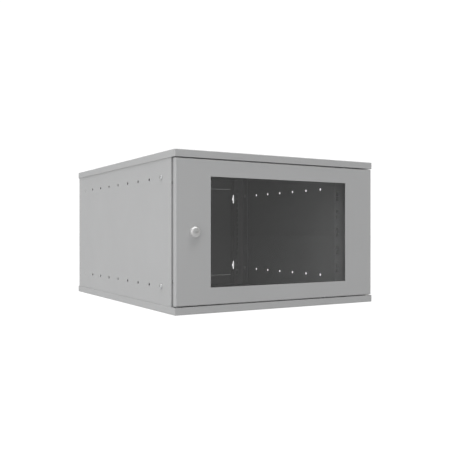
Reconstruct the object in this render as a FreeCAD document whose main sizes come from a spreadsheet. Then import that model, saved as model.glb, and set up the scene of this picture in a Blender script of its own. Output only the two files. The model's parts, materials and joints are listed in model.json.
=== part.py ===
import FreeCAD, Part
import math
import os
import re
import Sketcher
from FreeCAD import Placement, Rotation, Vector

# A 19-inch wall cabinet, 6 rack units high: two tray covers, two pierced side panels, a slotted back
# panel, four mounting rails and a hinged glazed door with a cam lock and a sprung upper hinge pin.
# Millimetres. X runs to the right, Y to the back, Z up; the origin is the middle of the underside.
# The front of the covers is at Y = -outer_depth / 2.

# ---------------------------------------------------------------------------------------------
# Sizes that are set by themselves
# ---------------------------------------------------------------------------------------------
SIZES = {
    # whole cabinet
    "outer_width": 526.0,
    "outer_depth": 600.0,
    "outer_height": 332.0,
    "skin": 1.2,                     # sheet of covers, panels and door
    "bend_radius": 2.0,              # outside radius of a fold in the skin
    "sheet_fit": 0.5,                # gap between a folded edge and the panel inside it
    # covers
    "lip_height": 15.5,
    "rear_lip_height": 30.5,
    "vent_length": 46.0,
    "vent_width": 3.6,
    "vent_pitch": 24.0,
    "vent_count": 15,
    "vent_from_front": 70.0,
    "entry_width": 240.0,
    "entry_depth": 52.0,
    "entry_from_rear": 60.0,
    "entry_corner": 6.0,
    "entry_plate_lap": 14.0,
    # side panels
    "side_setback": 21.0,            # front edge of a side panel behind the front of the covers
    "front_flange": 15.0,
    "rear_flange": 23.0,
    "seat_flange": 16.0,             # top and bottom flanges, which the covers are screwed to
    "front_relief": 8.0,
    "rear_relief": 25.0,
    "first_hole": 66.0,              # behind the front of the covers
    "last_hole": 54.0,               # before the rear of the covers
    "hole_count": 9,
    "hole_row_from_end": 53.6,       # from the top and from the underside
    "bolt_hole": 6.6,
    "cover_screw_inset": 80.0,       # from each end of the cabinet's depth
    # back panel and its wall keyholes
    "back_slit": 0.4,
    "back_side_inset": 3.0,
    "keyhole_from_side": 14.2,
    "keyhole_from_end": 61.0,        # middle of a keyhole from the top or the underside
    "keyhole_slot": 8.0,
    "keyhole_length": 27.0,
    "keyhole_entry": 13.5,
    "back_screw_half_span": 55.0,
    # mounting rails: at these sizes they stand 450 apart, with 465.1 between their hole columns
    "rack_unit": 44.45,
    "rack_units": 6,
    "rail_face": 35.1,
    "rack_hole_inset": 7.55,         # hole column from the rail's inner edge
    "rack_edge_hole": 6.35,          # first hole of a unit from the unit's edge
    "rack_middle_hole": 15.875,      # the middle hole of a unit from its first hole
    "square_hole": 9.5,
    "rail_steel": 2.0,
    "front_rail_depth": 88.0,
    "front_rail_flange": 34.0,
    "rear_rail_from_rear": 43.0,
    "rear_rail_flange": 24.0,
    "rail_end_play": 0.3,
    # door
    "door_inset": 0.5,               # front of the door behind the front of the covers
    "door_gap": 2.0,                 # over and under the door
    "door_side_inset": 2.5,
    "door_thick": 11.5,
    "door_hem": 12.0,
    "hem_notch": 75.0,
    "window_side_border": 80.0,      # from the edge of the door to the window
    "window_end_border": 35.0,
    "glass_lap": 10.0,
    "glass_thick": 4.0,
    "gasket_thick": 1.0,
    "clip_width": 12.0,
    "clip_steel": 1.2,
    "clip_hold": 5.0,                # how far a clip reaches over the glass
    "clip_stud_out": 5.0,            # clip stud outside the edge of the glass
    "clip_foot_out": 10.5,
    "clip_stud": 4.0,
    "clip_stud_length": 9.5,
    "clip_from_glass_side": 80.5,
    "clip_from_glass_end": 61.0,
    "buffer_diameter": 10.0,
    "buffer_half_span": 100.0,
    "buffer_play": 0.3,
    # hinge
    "hinge_from_side": 11.0,
    "hinge_from_front": 7.5,
    "pin_diameter": 5.0,
    "pin_play": 0.1,                 # radial, in every hole a hinge pin turns or slides in
    "bracket_steel": 2.5,
    "bracket_width": 18.0,
    "bracket_height": 13.0,
    "bracket_lip_play": 0.5,
    "pin_over_bracket": 1.5,
    "pin_travel": 8.0,
    "guide_top_drop": 16.0,          # upper guide ear below the top of the door
    "guide_height": 44.0,
    "guide_reach": 15.0,
    "guide_steel": 2.0,
    "guide_door_play": 0.5,
    "spring_wire": 0.9,
    "spring_diameter": 7.2,          # to the middle of the wire
    "spring_turns": 7,
    "collar_diameter": 9.0,
    "collar_thick": 2.0,
    "lever_length": 18.0,
    "lever_diameter": 4.0,
    "washer_diameter": 11.0,
    "washer_play": 0.1,
    "lower_pin_into_door": 9.0,
    # lock
    "lock_from_side": 44.4,
    "lock_head_diameter": 22.0,
    "lock_head_height": 8.5,
    "lock_barrel": 18.0,
    "lock_plug": 12.0,
    "lock_play": 0.1,
    "plug_recess": 0.6,
    "key_slit_width": 2.0,
    "key_slit_length": 8.0,
    "key_slit_depth": 6.0,
    "lock_head_round": 3.0,
    "lock_nut_flats": 24.0,
    "lock_nut_thick": 4.0,
    "cam_steel": 2.0,
    "cam_reach": 38.0,
    "cam_width": 14.0,
    "cam_square": 8.0,
    "cam_play": 2.0,                 # between the cam and the flange it hooks behind
    "cam_screw_length": 8.0,
    # fasteners
    "bolt_shank": 6.0,
    "bolt_head": 10.5,
    "bolt_head_height": 3.3,
    "bolt_length": 12.0,
    "nut_flats": 10.0,
    "nut_thick": 5.0,
    "low_head_height": 2.0,
    # shape of a pan head, as shares of its height (side, slope, floor) or its width (the others)
    "head_side": 0.35,
    "head_slope": 0.75,
    "head_shoulder": 0.42,
    "head_flat": 0.26,
    "recess_floor": 0.45,
    "recess_reach": 0.24,
    "recess_width": 0.07,
    "small_shank": 4.0,
    "small_head": 8.0,
    "small_head_height": 1.2,
    "small_nut_flats": 7.0,
    "small_nut_thick": 3.0,
    "shank_play": 0.2,               # radial, in a hole that a small screw passes
    "end_below_skin": 0.2,           # a screw's end stays this far under the outer face
    "stud_length": 12.0,
    "earth_stud_from_side": 60.0,
    "earth_stud_from_front": 110.0,
    "door_stud_from_side": 30.0,
    "door_stud_up": 42.0,
}

# ---------------------------------------------------------------------------------------------
# Places worked out from the sizes: x_ is across, y_ front to back, z_ up
# ---------------------------------------------------------------------------------------------
PLACES = {
    "x_side": "outer_width / 2",
    "y_front": "-outer_depth / 2",
    "y_rear": "outer_depth / 2",
    "z_mid": "outer_height / 2",
    # side panels
    "x_panel": "x_side - skin - sheet_fit",
    "x_panel_in": "x_panel - skin",
    "x_front_flange": "x_panel - front_flange",
    "x_rear_flange": "x_panel - rear_flange",
    "x_seat_flange": "x_panel_in - seat_flange",
    "y_panel": "y_front + side_setback",
    "y_lip": "y_rear - skin",
    "y_back": "y_lip - skin",
    "y_back_in": "y_back - skin",
    "y_seat_front": "y_panel + skin + front_relief",
    "y_seat_rear": "y_back_in - rear_relief",
    "z_seat": "outer_height - skin",
    "x_keyhole": "x_side - keyhole_from_side",
    "keyhole_half_span": "z_mid - keyhole_from_end",
    "hole_half_span": "z_mid - hole_row_from_end",
    "x_cover_screw": "x_panel_in - seat_flange / 2",
    "y_cover_screw": "y_rear - cover_screw_inset",
    "y_entry": "y_rear - entry_from_rear",
    # rails
    "z_rack": "z_mid - rack_units * rack_unit / 2",
    "x_rail": "x_panel_in - rail_face",
    "x_rail_hole": "x_rail + rack_hole_inset",
    "y_front_rail": "y_front + front_rail_depth",
    "y_rear_rail": "y_rear - rear_rail_from_rear",
    "y_first_hole": "y_front + first_hole",
    "y_last_hole": "y_rear - last_hole",
    "hole_pitch": "(y_last_hole - y_first_hole) / (hole_count - 1)",
    "z_rail_end": "2 * skin + rail_end_play",
    # door
    "y_door": "y_front + door_inset",
    "y_door_skin": "y_door + skin",
    "y_door_rear": "y_door + door_thick",
    "x_door": "x_side - door_side_inset",
    "z_door": "lip_height + door_gap",
    "z_door_top": "outer_height - z_door",
    "x_window": "x_door - window_side_border",
    "z_window": "z_mid - z_door - window_end_border",
    "x_glass": "x_window + glass_lap",
    "z_glass": "z_window + glass_lap",
    "clip_half_span_across": "x_glass - clip_from_glass_side",
    "clip_half_span_up": "z_glass - clip_from_glass_end",
    "y_glass": "y_door_skin + gasket_thick",
    "y_glass_rear": "y_glass + glass_thick",
    # hinge
    "x_hinge": "x_side - hinge_from_side",
    "y_hinge": "y_front + hinge_from_front",
    "z_ear": "outer_height - lip_height + bracket_lip_play",
    "z_ear_top": "z_ear + bracket_steel",
    "z_bracket_screw": "z_ear_top + small_head / 2 + bracket_lip_play",
    "z_pin_top": "z_ear_top + pin_over_bracket",
    "z_guide_top": "z_door_top - guide_top_drop",
    "z_guide_bottom": "z_guide_top - guide_height",
    "z_spring": "z_guide_bottom + guide_steel",
    "z_collar": "z_guide_top - guide_steel - collar_thick - pin_play",
    "z_lever": "z_guide_bottom - pin_travel / 2 - lever_diameter",
    # lock
    "x_lock": "-(x_side - lock_from_side)",
    "y_cam": "y_panel + skin + cam_play",
}

doc = FreeCAD.newDocument("wall_cabinet")


def bound(text):
    """An expression whose bare names become cells of the two sheets."""

    def cell(match):
        word = match.group(0)
        if word in SIZES:
            return "Size." + word
        if word in PLACES:
            return "Place." + word
        return word

    return re.sub(r"[a-z_][a-z0-9_]*", cell, text)


def sheet(name, cells, as_text):
    made = doc.addObject("Spreadsheet::Sheet", name)
    for row, (alias, content) in enumerate(cells.items(), start=1):
        made.set(f"A{row}", alias)
        made.set(f"B{row}", as_text(content))
        made.setAlias(f"B{row}", alias)
    doc.recompute()
    return made


size = sheet("Size", SIZES, str)
place = sheet("Place", PLACES, lambda formula: "=" + bound(formula).replace("Place.", ""))


def number(alias):
    """The present value of one cell, for tests on finished geometry."""
    return float((size if alias in SIZES else place).get(alias))


# ---------------------------------------------------------------------------------------------
# Sketches and features. Every pad and cut starts on its sketch's plane and runs along the
# plane's own positive axis: X for YZ, Y for XZ and Z for XY.
# ---------------------------------------------------------------------------------------------
def new_body(name, upside_down=False):
    """An empty body; an upside-down one is turned over about Y, as the real panels are."""
    body = doc.addObject("PartDesign::Body", name)
    body.Label = name
    if upside_down:
        body.Placement = Placement(Vector(), Rotation(Vector(0, 1, 0), 180))
        body.setExpression("Placement.Base.z", bound("outer_height"))
    return body


def origin_feature(body, role):
    return next(part for part in body.Origin.OriginFeatures if part.Role == role)


def sketch_on(body, plane, away="0"):
    made = body.newObject("Sketcher::SketchObject", "Profile")
    made.AttachmentSupport = [(origin_feature(body, plane + "_Plane"), "")]
    made.MapMode = "FlatFace"
    sign = "-" if plane == "XZ" else ""
    made.setExpression("AttachmentOffset.Base.z", bound(f"{sign}({away})"))
    return made


def fix(sketch, kind, target, present, text):
    """Tie a sketch dimension to an expression, starting from the value it has at present."""
    index = sketch.addConstraint(Sketcher.Constraint(kind, *target, present))
    sketch.setExpression(f"Constraints[{index}]", bound(text))


def fix_level(sketch, geometry, end, v):
    fix(sketch, "DistanceY", (-1, 1, geometry, end), sketch.getPoint(geometry, end).y, v)


def fix_point(sketch, geometry, end, u, v):
    fix(sketch, "DistanceX", (-1, 1, geometry, end), sketch.getPoint(geometry, end).x, u)
    fix_level(sketch, geometry, end, v)


def polygon(sketch, corners):
    """A closed outline through corners given as pairs of expressions."""
    first = sketch.GeometryCount
    count = len(corners)
    spots = [Vector(math.cos(i * math.tau / count), math.sin(i * math.tau / count)) for i in range(count)]
    for i in range(count):
        sketch.addGeometry(Part.LineSegment(spots[i] * 50, spots[(i + 1) % count] * 50))
    for i, (u, v) in enumerate(corners):
        follower = first + (i + 1) % count
        sketch.addConstraint(Sketcher.Constraint("Coincident", first + i, 2, follower, 1))
        fix_point(sketch, first + i, 1, u, v)


def rectangle(sketch, left, right, low, high):
    polygon(sketch, [(left, low), (right, low), (right, high), (left, high)])


def circle(sketch, u, v, radius):
    made = sketch.addGeometry(Part.Circle(Vector(), Vector(0, 0, 1), 5))
    fix(sketch, "Radius", (made,), 5.0, radius)
    fix_point(sketch, made, 3, u, v)


def slot(sketch, u, v, length, width):
    """An upright slot with round ends, centred on (u, v)."""
    half = f"({length} - {width}) / 2"
    left_u, right_u = f"{u} - {width} / 2", f"{u} + {width} / 2"
    high, low = f"{v} + {half}", f"{v} - {half}"
    left = sketch.addGeometry(Part.LineSegment(Vector(-3, 9), Vector(-3, -9)))
    right = sketch.addGeometry(Part.LineSegment(Vector(3, -9), Vector(3, 9)))
    for line, end, corner in ((left, 1, (left_u, high)), (left, 2, (left_u, low)),
                              (right, 1, (right_u, low)), (right, 2, (right_u, high))):
        fix_point(sketch, line, end, *corner)
    for start, centre, turn, level in ((right, Vector(0, 9), 0, high), (left, Vector(0, -9), math.pi, low)):
        other = left if start == right else right
        arc = Part.ArcOfCircle(Part.Circle(centre, Vector(0, 0, 1), 3), turn, turn + math.pi)
        made = sketch.addGeometry(arc)
        sketch.addConstraint(Sketcher.Constraint("Coincident", made, 1, start, 2))
        sketch.addConstraint(Sketcher.Constraint("Coincident", made, 2, other, 1))
        fix_level(sketch, made, 3, level)


def plane_of(sketch):
    return sketch.AttachmentSupport[0][0].Role[:2]


def pad(body, sketch, length):
    made = body.newObject("PartDesign::Pad", "Pad")
    made.Profile = sketch
    made.setExpression("Length", bound(length))
    made.Reversed = plane_of(sketch) == "XZ"
    doc.recompute()
    return made


def cut(body, sketch, length):
    before = body.Shape.Volume
    made = body.newObject("PartDesign::Pocket", "Pocket")
    made.Profile = sketch
    made.setExpression("Length", bound(length))
    made.Reversed = plane_of(sketch) != "XZ"
    doc.recompute()
    if not body.Shape.Volume < before:
        raise ValueError(f"a cut in {body.Label} removes nothing")
    return made


def repeat(body, feature, axis, pitch, count):
    made = body.newObject("PartDesign::LinearPattern", "Row")
    made.Originals = [feature]
    made.Direction = (origin_feature(body, axis + "_Axis"), [""])
    made.setExpression("Length", bound(f"({pitch}) * ({count} - 1)"))
    made.setExpression("Occurrences", bound(count))
    body.Tip = made
    doc.recompute()
    return made


def round_edges(body, radius, chosen):
    """Fillet the edges that the test picks from the body's present solid."""
    base = body.Tip
    edges = base.Shape.Edges
    names = [f"Edge{i}" for i, edge in enumerate(edges, start=1) if chosen(edge)]
    made = body.newObject("PartDesign::Fillet", "Bend")
    made.Base = (base, names)
    made.setExpression("Radius", bound(radius))
    doc.recompute()
    return made


def revolve(body, sketch, axis):
    made = body.newObject("PartDesign::Revolution", "Turned")
    made.Profile = sketch
    made.ReferenceAxis = (sketch, [axis])
    made.Angle = 360
    doc.recompute()
    return made


def near(a, b):
    return abs(a - b) < 1e-4


def upright(edge):
    """A straight edge along Z."""
    box = edge.BoundBox
    return box.XLength < 1e-6 and box.YLength < 1e-6


def middle(edge):
    return edge.BoundBox.Center


# ---------------------------------------------------------------------------------------------
# Covers: one folded tray, used as it is on top and upside down below
# ---------------------------------------------------------------------------------------------
def cover(name, upside_down):
    body = new_body(name, upside_down)
    outline = sketch_on(body, "XY", "outer_height - lip_height")
    rectangle(outline, "-x_side", "x_side", "y_front", "y_rear")
    pad(body, outline, "lip_height")
    top = number("outer_height")
    round_edges(body, "bend_radius", lambda edge: near(middle(edge).z, top) or upright(edge))

    hollow = sketch_on(body, "XY", "outer_height - lip_height")
    rectangle(hollow, "-(x_side - skin)", "x_side - skin", "y_front + skin", "y_rear - skin")
    cut(body, hollow, "lip_height - skin")

    # the rear edge is folded down further, with slanted ends
    rear = sketch_on(body, "XZ", "y_lip")
    wide = "x_side - bend_radius"
    narrow = f"{wide} - (rear_lip_height - lip_height)"
    high, low = "outer_height - lip_height", "outer_height - rear_lip_height"
    polygon(rear, [(f"-({wide})", f"{high} + skin"), (f"-({wide})", high), (f"-({narrow})", low),
                   (narrow, low), (wide, high), (wide, f"{high} + skin")])
    pad(body, rear, "skin")

    entry = sketch_on(body, "XY", "outer_height - skin")
    rectangle(entry, "-entry_width / 2", "entry_width / 2", "y_entry - entry_depth / 2",
              "y_entry + entry_depth / 2")
    cut(body, entry, "skin")
    inside = number("y_rear") - number("skin") - number("bend_radius")
    half = number("entry_width") / 2
    round_edges(body, "entry_corner", lambda edge: upright(edge) and middle(edge).y < inside
                and near(abs(middle(edge).x), half))

    holes = sketch_on(body, "XY", "outer_height - skin")
    for side in ("-", ""):
        for end in ("-", ""):
            circle(holes, f"{side}(x_cover_screw)", f"{end}(y_cover_screw)", "bolt_shank / 2 + shank_play")
            circle(holes, f"{side}(entry_width / 2 + entry_plate_lap / 2)",
                   f"y_entry + {end}(entry_depth / 4)", "small_shank / 2 + shank_play")
    cut(body, holes, "skin")

    vent = sketch_on(body, "XY", "outer_height - skin")
    slot(vent, "-(vent_count - 1) / 2 * vent_pitch", "y_front + vent_from_front", "vent_length", "vent_width")
    repeat(body, cut(body, vent, "skin"), "X", "vent_pitch", "vent_count")
    return body


def entry_plate(name, upside_down):
    """The plate that closes a cover's cable entry from inside."""
    body = new_body(name, upside_down)
    outline = sketch_on(body, "XY", "z_seat - skin")
    half = "entry_width / 2 + entry_plate_lap"
    reach = "(entry_depth / 2 + entry_plate_lap)"
    rectangle(outline, f"-({half})", half, f"y_entry - {reach}", f"y_entry + {reach}")
    pad(body, outline, "skin")
    round_edges(body, "entry_corner", upright)
    holes = sketch_on(body, "XY", "z_seat - skin")
    for side in ("-", ""):
        for end in ("-", ""):
            circle(holes, f"{side}(entry_width / 2 + entry_plate_lap / 2)",
                   f"y_entry + {end}(entry_depth / 4)", "small_shank / 2 + shank_play")
    cut(body, holes, "skin")
    return body


# ---------------------------------------------------------------------------------------------
# Side panels and back panel
# ---------------------------------------------------------------------------------------------
def keyholes(body, away, columns):
    """Double-ended keyholes for wall screws: a slot with a round entry in its middle."""
    slots = sketch_on(body, "XZ", away)
    entries = sketch_on(body, "XZ", away)
    for x in columns:
        for level in ("z_mid + keyhole_half_span", "z_mid - keyhole_half_span"):
            slot(slots, x, level, "keyhole_length", "keyhole_slot")
            circle(entries, x, level, "keyhole_entry / 2")
    cut(body, slots, "skin")
    cut(body, entries, "skin")


def back_screw_holes(body, away, columns, radius):
    holes = sketch_on(body, "XZ", away)
    for x in columns:
        for level in ("z_mid + back_screw_half_span", "z_mid - back_screw_half_span"):
            circle(holes, x, level, radius)
    cut(body, holes, "skin")


def side_panel(name, upside_down):
    """The right panel; turned over about Y it is the left one."""
    body = new_body(name, upside_down)
    profile = sketch_on(body, "XY", "skin")
    polygon(profile, [("x_panel", "y_panel"), ("x_panel", "y_back"), ("x_rear_flange", "y_back"),
                      ("x_rear_flange", "y_back_in"), ("x_panel_in", "y_back_in"),
                      ("x_panel_in", "y_panel + skin"), ("x_front_flange", "y_panel + skin"),
                      ("x_front_flange", "y_panel")])
    pad(body, profile, "outer_height - 2 * skin")
    outer = number("x_panel")
    round_edges(body, "bend_radius", lambda edge: upright(edge) and near(middle(edge).x, outer))

    for level in ("skin", "z_seat - skin"):
        flange = sketch_on(body, "XY", level)
        rectangle(flange, "x_seat_flange", "x_panel - skin / 2", "y_seat_front", "y_seat_rear")
        pad(body, flange, "skin")

    pair = sketch_on(body, "YZ", "x_panel_in")
    for level in ("z_mid + hole_half_span", "z_mid - hole_half_span"):
        circle(pair, "y_first_hole", level, "bolt_hole / 2")
    repeat(body, cut(body, pair, "skin"), "Y", "hole_pitch", "hole_count")

    seats = sketch_on(body, "XY")
    for end in ("-", ""):
        circle(seats, "x_cover_screw", f"{end}(y_cover_screw)", "bolt_shank / 2 + shank_play")
    cut(body, seats, "outer_height")

    hinge = sketch_on(body, "XZ", "y_panel")
    for level in ("z_bracket_screw", "outer_height - z_bracket_screw"):
        circle(hinge, "x_hinge", level, "small_shank / 2 + shank_play")
    cut(body, hinge, "skin")

    keyholes(body, "y_back_in", ["x_keyhole"])
    back_screw_holes(body, "y_back_in", ["x_keyhole"], "small_shank / 2 + shank_play")
    return body


def back_panel():
    body = new_body("back_panel")
    outline = sketch_on(body, "XZ", "y_back")
    half = "(x_side - back_side_inset)"
    edge = "(rear_lip_height + back_slit)"
    rectangle(outline, f"-{half}", half, edge, f"outer_height - {edge}")
    pad(body, outline, "skin")
    columns = ["-x_keyhole", "x_keyhole"]
    keyholes(body, "y_back", columns)
    back_screw_holes(body, "y_back", columns, "small_shank / 2 + shank_play")
    return body


# ---------------------------------------------------------------------------------------------
# Mounting rails
# ---------------------------------------------------------------------------------------------
def rail(name, face, flange, first_holes, bolt_line, upside_down):
    """An angle whose face looks forward; its flange runs forward along the side panel."""
    body = new_body(name, upside_down)
    profile = sketch_on(body, "XY", "z_rail_end")
    inner = "x_panel_in - rail_steel"
    polygon(profile, [("x_rail", face), (inner, face), (inner, f"{face} - {flange}"),
                      ("x_panel_in", f"{face} - {flange}"), ("x_panel_in", f"{face} + rail_steel"),
                      ("x_rail", f"{face} + rail_steel")])
    pad(body, profile, "outer_height - 2 * z_rail_end")
    wall, back = number("x_panel_in"), number(face) + number("rail_steel")
    round_edges(body, "rail_steel", lambda edge: upright(edge) and near(middle(edge).x, wall)
                and near(middle(edge).y, back))

    squares = sketch_on(body, "XZ", face)
    half = "square_hole / 2"
    for hole in first_holes:
        level = f"z_rack + {hole}"
        rectangle(squares, f"x_rail_hole - {half}", f"x_rail_hole + {half}", f"{level} - {half}",
                  f"{level} + {half}")
    repeat(body, cut(body, squares, "rail_steel"), "Z", "rack_unit", "rack_units")

    bolts = sketch_on(body, "YZ", inner)
    for level in ("z_mid + hole_half_span", "z_mid - hole_half_span"):
        circle(bolts, bolt_line, level, "bolt_hole / 2")
    cut(body, bolts, "rail_steel")
    return body


# ---------------------------------------------------------------------------------------------
# Door
# ---------------------------------------------------------------------------------------------
def ring(body, away, outer, inner, thick):
    """A rectangular ring in the door's plane; outer and inner are (half width, low, high)."""
    outline = sketch_on(body, "XZ", away)
    for half, low, high in (outer, inner):
        rectangle(outline, f"-({half})", half, low, high)
    return pad(body, outline, thick)


def clip_spots():
    """Where the eight glass clips sit: (x, z, turn about Y) with the clip pointing at the glass."""
    out = "clip_stud_out"
    for side in ("-", ""):
        yield f"{side}(clip_half_span_across)", f"z_mid + z_glass + {out}", 0
        yield f"{side}(clip_half_span_across)", f"z_mid - z_glass - {out}", 180
        yield f"x_glass + {out}", f"z_mid + {side}(clip_half_span_up)", 90
        yield f"-(x_glass + {out})", f"z_mid + {side}(clip_half_span_up)", -90


def door_frame():
    body = new_body("door_frame")
    edges = ("x_door", "z_door", "z_door_top")
    window = ("x_window", "z_mid - z_window", "z_mid + z_window")
    ring(body, "y_door", edges, window, "skin")
    ring(body, "y_door", edges, ("x_door - skin", "z_door + skin", "z_door_top - skin"), "door_thick")
    ring(body, "y_door_rear - skin", edges, ("x_door - door_hem", "z_door + door_hem",
                                             "z_door_top - door_hem"), "skin")
    front, side = number("y_door"), number("x_door")
    low, high = number("z_door"), number("z_door_top")

    def on_outside(edge):
        spot = middle(edge)
        return near(abs(spot.x), side) or near(spot.z, low) or near(spot.z, high)

    round_edges(body, "bend_radius", lambda edge: near(middle(edge).y, front) and on_outside(edge))

    # the hinge-side hem is notched at both ends for the hinge pins
    notch = sketch_on(body, "XZ", "y_door_rear - skin")
    for low_end, high_end in (("z_door + door_hem", "z_door + hem_notch"),
                              ("z_door_top - hem_notch", "z_door_top - door_hem")):
        rectangle(notch, "x_door - door_hem", "x_door - skin", low_end, high_end)
    cut(body, notch, "skin")

    pins = sketch_on(body, "XY")
    circle(pins, "x_hinge", "y_hinge", "pin_diameter / 2 + pin_play")
    cut(body, pins, "outer_height")

    lock = sketch_on(body, "XZ", "y_door")
    circle(lock, "x_lock", "z_mid", "lock_barrel / 2 + lock_play")
    cut(body, lock, "skin")

    studs = sketch_on(body, "XZ", "y_door_skin")
    for x, z, _ in clip_spots():
        circle(studs, x, z, "clip_stud / 2")
    pad(body, studs, "clip_stud_length")
    return body


def glass():
    body = new_body("door_glass")
    outline = sketch_on(body, "XZ", "y_glass")
    rectangle(outline, "-x_glass", "x_glass", "z_mid - z_glass", "z_mid + z_glass")
    pad(body, outline, "glass_thick")
    return body


def gasket():
    body = new_body("glass_gasket")
    ring(body, "y_door_skin", ("x_glass", "z_mid - z_glass", "z_mid + z_glass"),
         ("x_window + skin", "z_mid - z_window - skin", "z_mid + z_window + skin"), "gasket_thick")
    return body


# ---------------------------------------------------------------------------------------------
# Fasteners: one master of each kind, head up, its seat at the master's own origin
# ---------------------------------------------------------------------------------------------
def screw(name, shank, length, head, head_height):
    """A pan-head screw with a cross recess."""
    body = new_body(name)
    profile = sketch_on(body, "XZ")
    polygon(profile, [("0", f"-({length})"), (f"{shank} / 2", f"-({length})"), (f"{shank} / 2", "0"),
                      (f"{head} / 2", "0"), (f"{head} / 2", f"{head_height} * head_side"),
                      (f"{head} * head_shoulder", f"{head_height} * head_slope"),
                      (f"{head} * head_flat", head_height), ("0", head_height)])
    revolve(body, profile, "V_Axis")
    wide, thin = f"{head} * recess_reach", f"{head} * recess_width"
    cross = sketch_on(body, "XY", f"{head_height} * recess_floor")
    quarter = [(wide, thin), (thin, thin), (thin, wide)]
    corners = quarter
    corners = corners + [(f"-({u})", v) for u, v in reversed(quarter)]
    corners = corners + [(f"-({u})", f"-({v})") for u, v in quarter]
    corners = corners + [(u, f"-({v})") for u, v in reversed(quarter)]
    polygon(cross, corners)
    cut(body, cross, head_height)
    return body


def nut(name, flats, thick, bore):
    """A hexagon nut, its seat at the master's origin."""
    block = doc.addObject("Part::Prism", name + "_hexagon")
    block.Polygon = 6
    block.setExpression("Circumradius", bound(f"{flats} / 2 / cos(30)"))
    block.setExpression("Height", bound(thick))
    hole = doc.addObject("Part::Cylinder", name + "_bore")
    hole.setExpression("Radius", bound(bore))
    hole.setExpression("Height", bound(thick))
    made = doc.addObject("Part::Cut", name)
    made.Base = block
    made.Tool = hole
    made.Label = name
    doc.recompute()
    return made


def group(name, master, spots):
    """One node with a copy of the master at each spot: (x, y, z, rotation)."""
    copies = []
    for x, y, z, turn in spots:
        copy = doc.addObject("App::Link", name + "_copy")
        copy.LinkedObject = master
        copy.Placement = Placement(Vector(), turn)
        for axis, text in zip("xyz", (x, y, z)):
            copy.setExpression(f"Placement.Base.{axis}", bound(text))
        copies.append(copy)
    made = doc.addObject("Part::Compound", name)
    made.Label = name
    made.Links = copies
    doc.recompute()
    return made


UP = Rotation()
DOWN = Rotation(Vector(1, 0, 0), 180)
TO_RIGHT = Rotation(Vector(0, 1, 0), 90)
TO_LEFT = Rotation(Vector(0, 1, 0), -90)
TO_FRONT = Rotation(Vector(1, 0, 0), 90)
TO_BACK = Rotation(Vector(1, 0, 0), -90)


# ---------------------------------------------------------------------------------------------
# Hinge: two angle brackets, a fixed lower pin and a sprung upper pin in the door
# ---------------------------------------------------------------------------------------------
def hinge_bracket(name, lower=False):
    """The upper bracket; turned over about Y through its own middle it is the lower one."""
    body = new_body(name, lower)
    if lower:
        body.setExpression("Placement.Base.x", bound("2 * x_hinge"))
    profile = sketch_on(body, "YZ", "x_hinge - bracket_width / 2")
    top = "z_ear + bracket_height"
    ear_front, leg_front = "y_front + skin + bracket_lip_play", "y_panel - bracket_steel"
    polygon(profile, [(ear_front, "z_ear"), ("y_panel", "z_ear"), ("y_panel", top), (leg_front, top),
                      (leg_front, "z_ear_top"), (ear_front, "z_ear_top")])
    pad(body, profile, "bracket_width")
    front, low = number("y_front") + number("skin") + number("bracket_lip_play"), number("z_ear")
    back = number("y_panel")

    def at_bend_or_tip(edge):
        spot, across = middle(edge), edge.BoundBox.XLength > 1e-6
        return (not across and near(spot.y, front)) or (near(spot.y, back) and near(spot.z, low))

    round_edges(body, "bracket_steel", at_bend_or_tip)
    pin = sketch_on(body, "XY", "z_ear")
    circle(pin, "x_hinge", "y_hinge", "pin_diameter / 2 + pin_play")
    cut(body, pin, "bracket_steel")
    fixing = sketch_on(body, "XZ", leg_front)
    circle(fixing, "x_hinge", "z_bracket_screw", "small_shank / 2 + shank_play")
    cut(body, fixing, "bracket_steel")
    return body


def round_bar(body, plane, away, u, v, diameter, length):
    """A round pad on one of the body's planes."""
    outline = sketch_on(body, plane, away)
    circle(outline, u, v, f"({diameter}) / 2")
    return pad(body, outline, length)


def lower_hinge_pin():
    body = new_body("lower_hinge_pin")
    head_seat = "outer_height - z_ear_top"
    round_bar(body, "XY", f"{head_seat} - collar_thick", "x_hinge", "y_hinge", "collar_diameter",
              "collar_thick")
    round_bar(body, "XY", head_seat, "x_hinge", "y_hinge", "pin_diameter",
              f"z_door + lower_pin_into_door - ({head_seat})")
    return body


def hinge_washer():
    body = new_body("hinge_washer")
    outline = sketch_on(body, "XY", "outer_height - z_ear")
    circle(outline, "x_hinge", "y_hinge", "washer_diameter / 2")
    circle(outline, "x_hinge", "y_hinge", "pin_diameter / 2 + pin_play")
    pad(body, outline, "z_door - (outer_height - z_ear) - washer_play")
    return body


def upper_hinge_pin():
    body = new_body("upper_hinge_pin")
    foot = "z_lever - lever_diameter"
    round_bar(body, "XY", foot, "x_hinge", "y_hinge", "pin_diameter", f"z_pin_top - ({foot})")
    round_bar(body, "XY", "z_collar", "x_hinge", "y_hinge", "collar_diameter", "collar_thick")
    round_bar(body, "YZ", "x_hinge - lever_length", "y_hinge", "z_lever", "lever_diameter", "lever_length")
    return body


def pin_guide():
    """The channel that the sprung pin slides in, welded to the hinge side of the door."""
    body = new_body("pin_guide")
    wall = "x_door - skin"
    web, reach = f"{wall} - guide_steel", f"{wall} - guide_reach"
    low, high = "z_guide_bottom", "z_guide_top"
    profile = sketch_on(body, "XZ", "y_door_skin + guide_door_play")
    polygon(profile, [(wall, low), (wall, high), (reach, high), (reach, f"{high} - guide_steel"),
                      (web, f"{high} - guide_steel"), (web, f"{low} + guide_steel"),
                      (reach, f"{low} + guide_steel"), (reach, low)])
    pad(body, profile, "door_thick - skin - 2 * guide_door_play")
    bore = sketch_on(body, "XY", low)
    circle(bore, "x_hinge", "y_hinge", "pin_diameter / 2 + pin_play")
    cut(body, bore, "guide_height")
    return body


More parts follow.
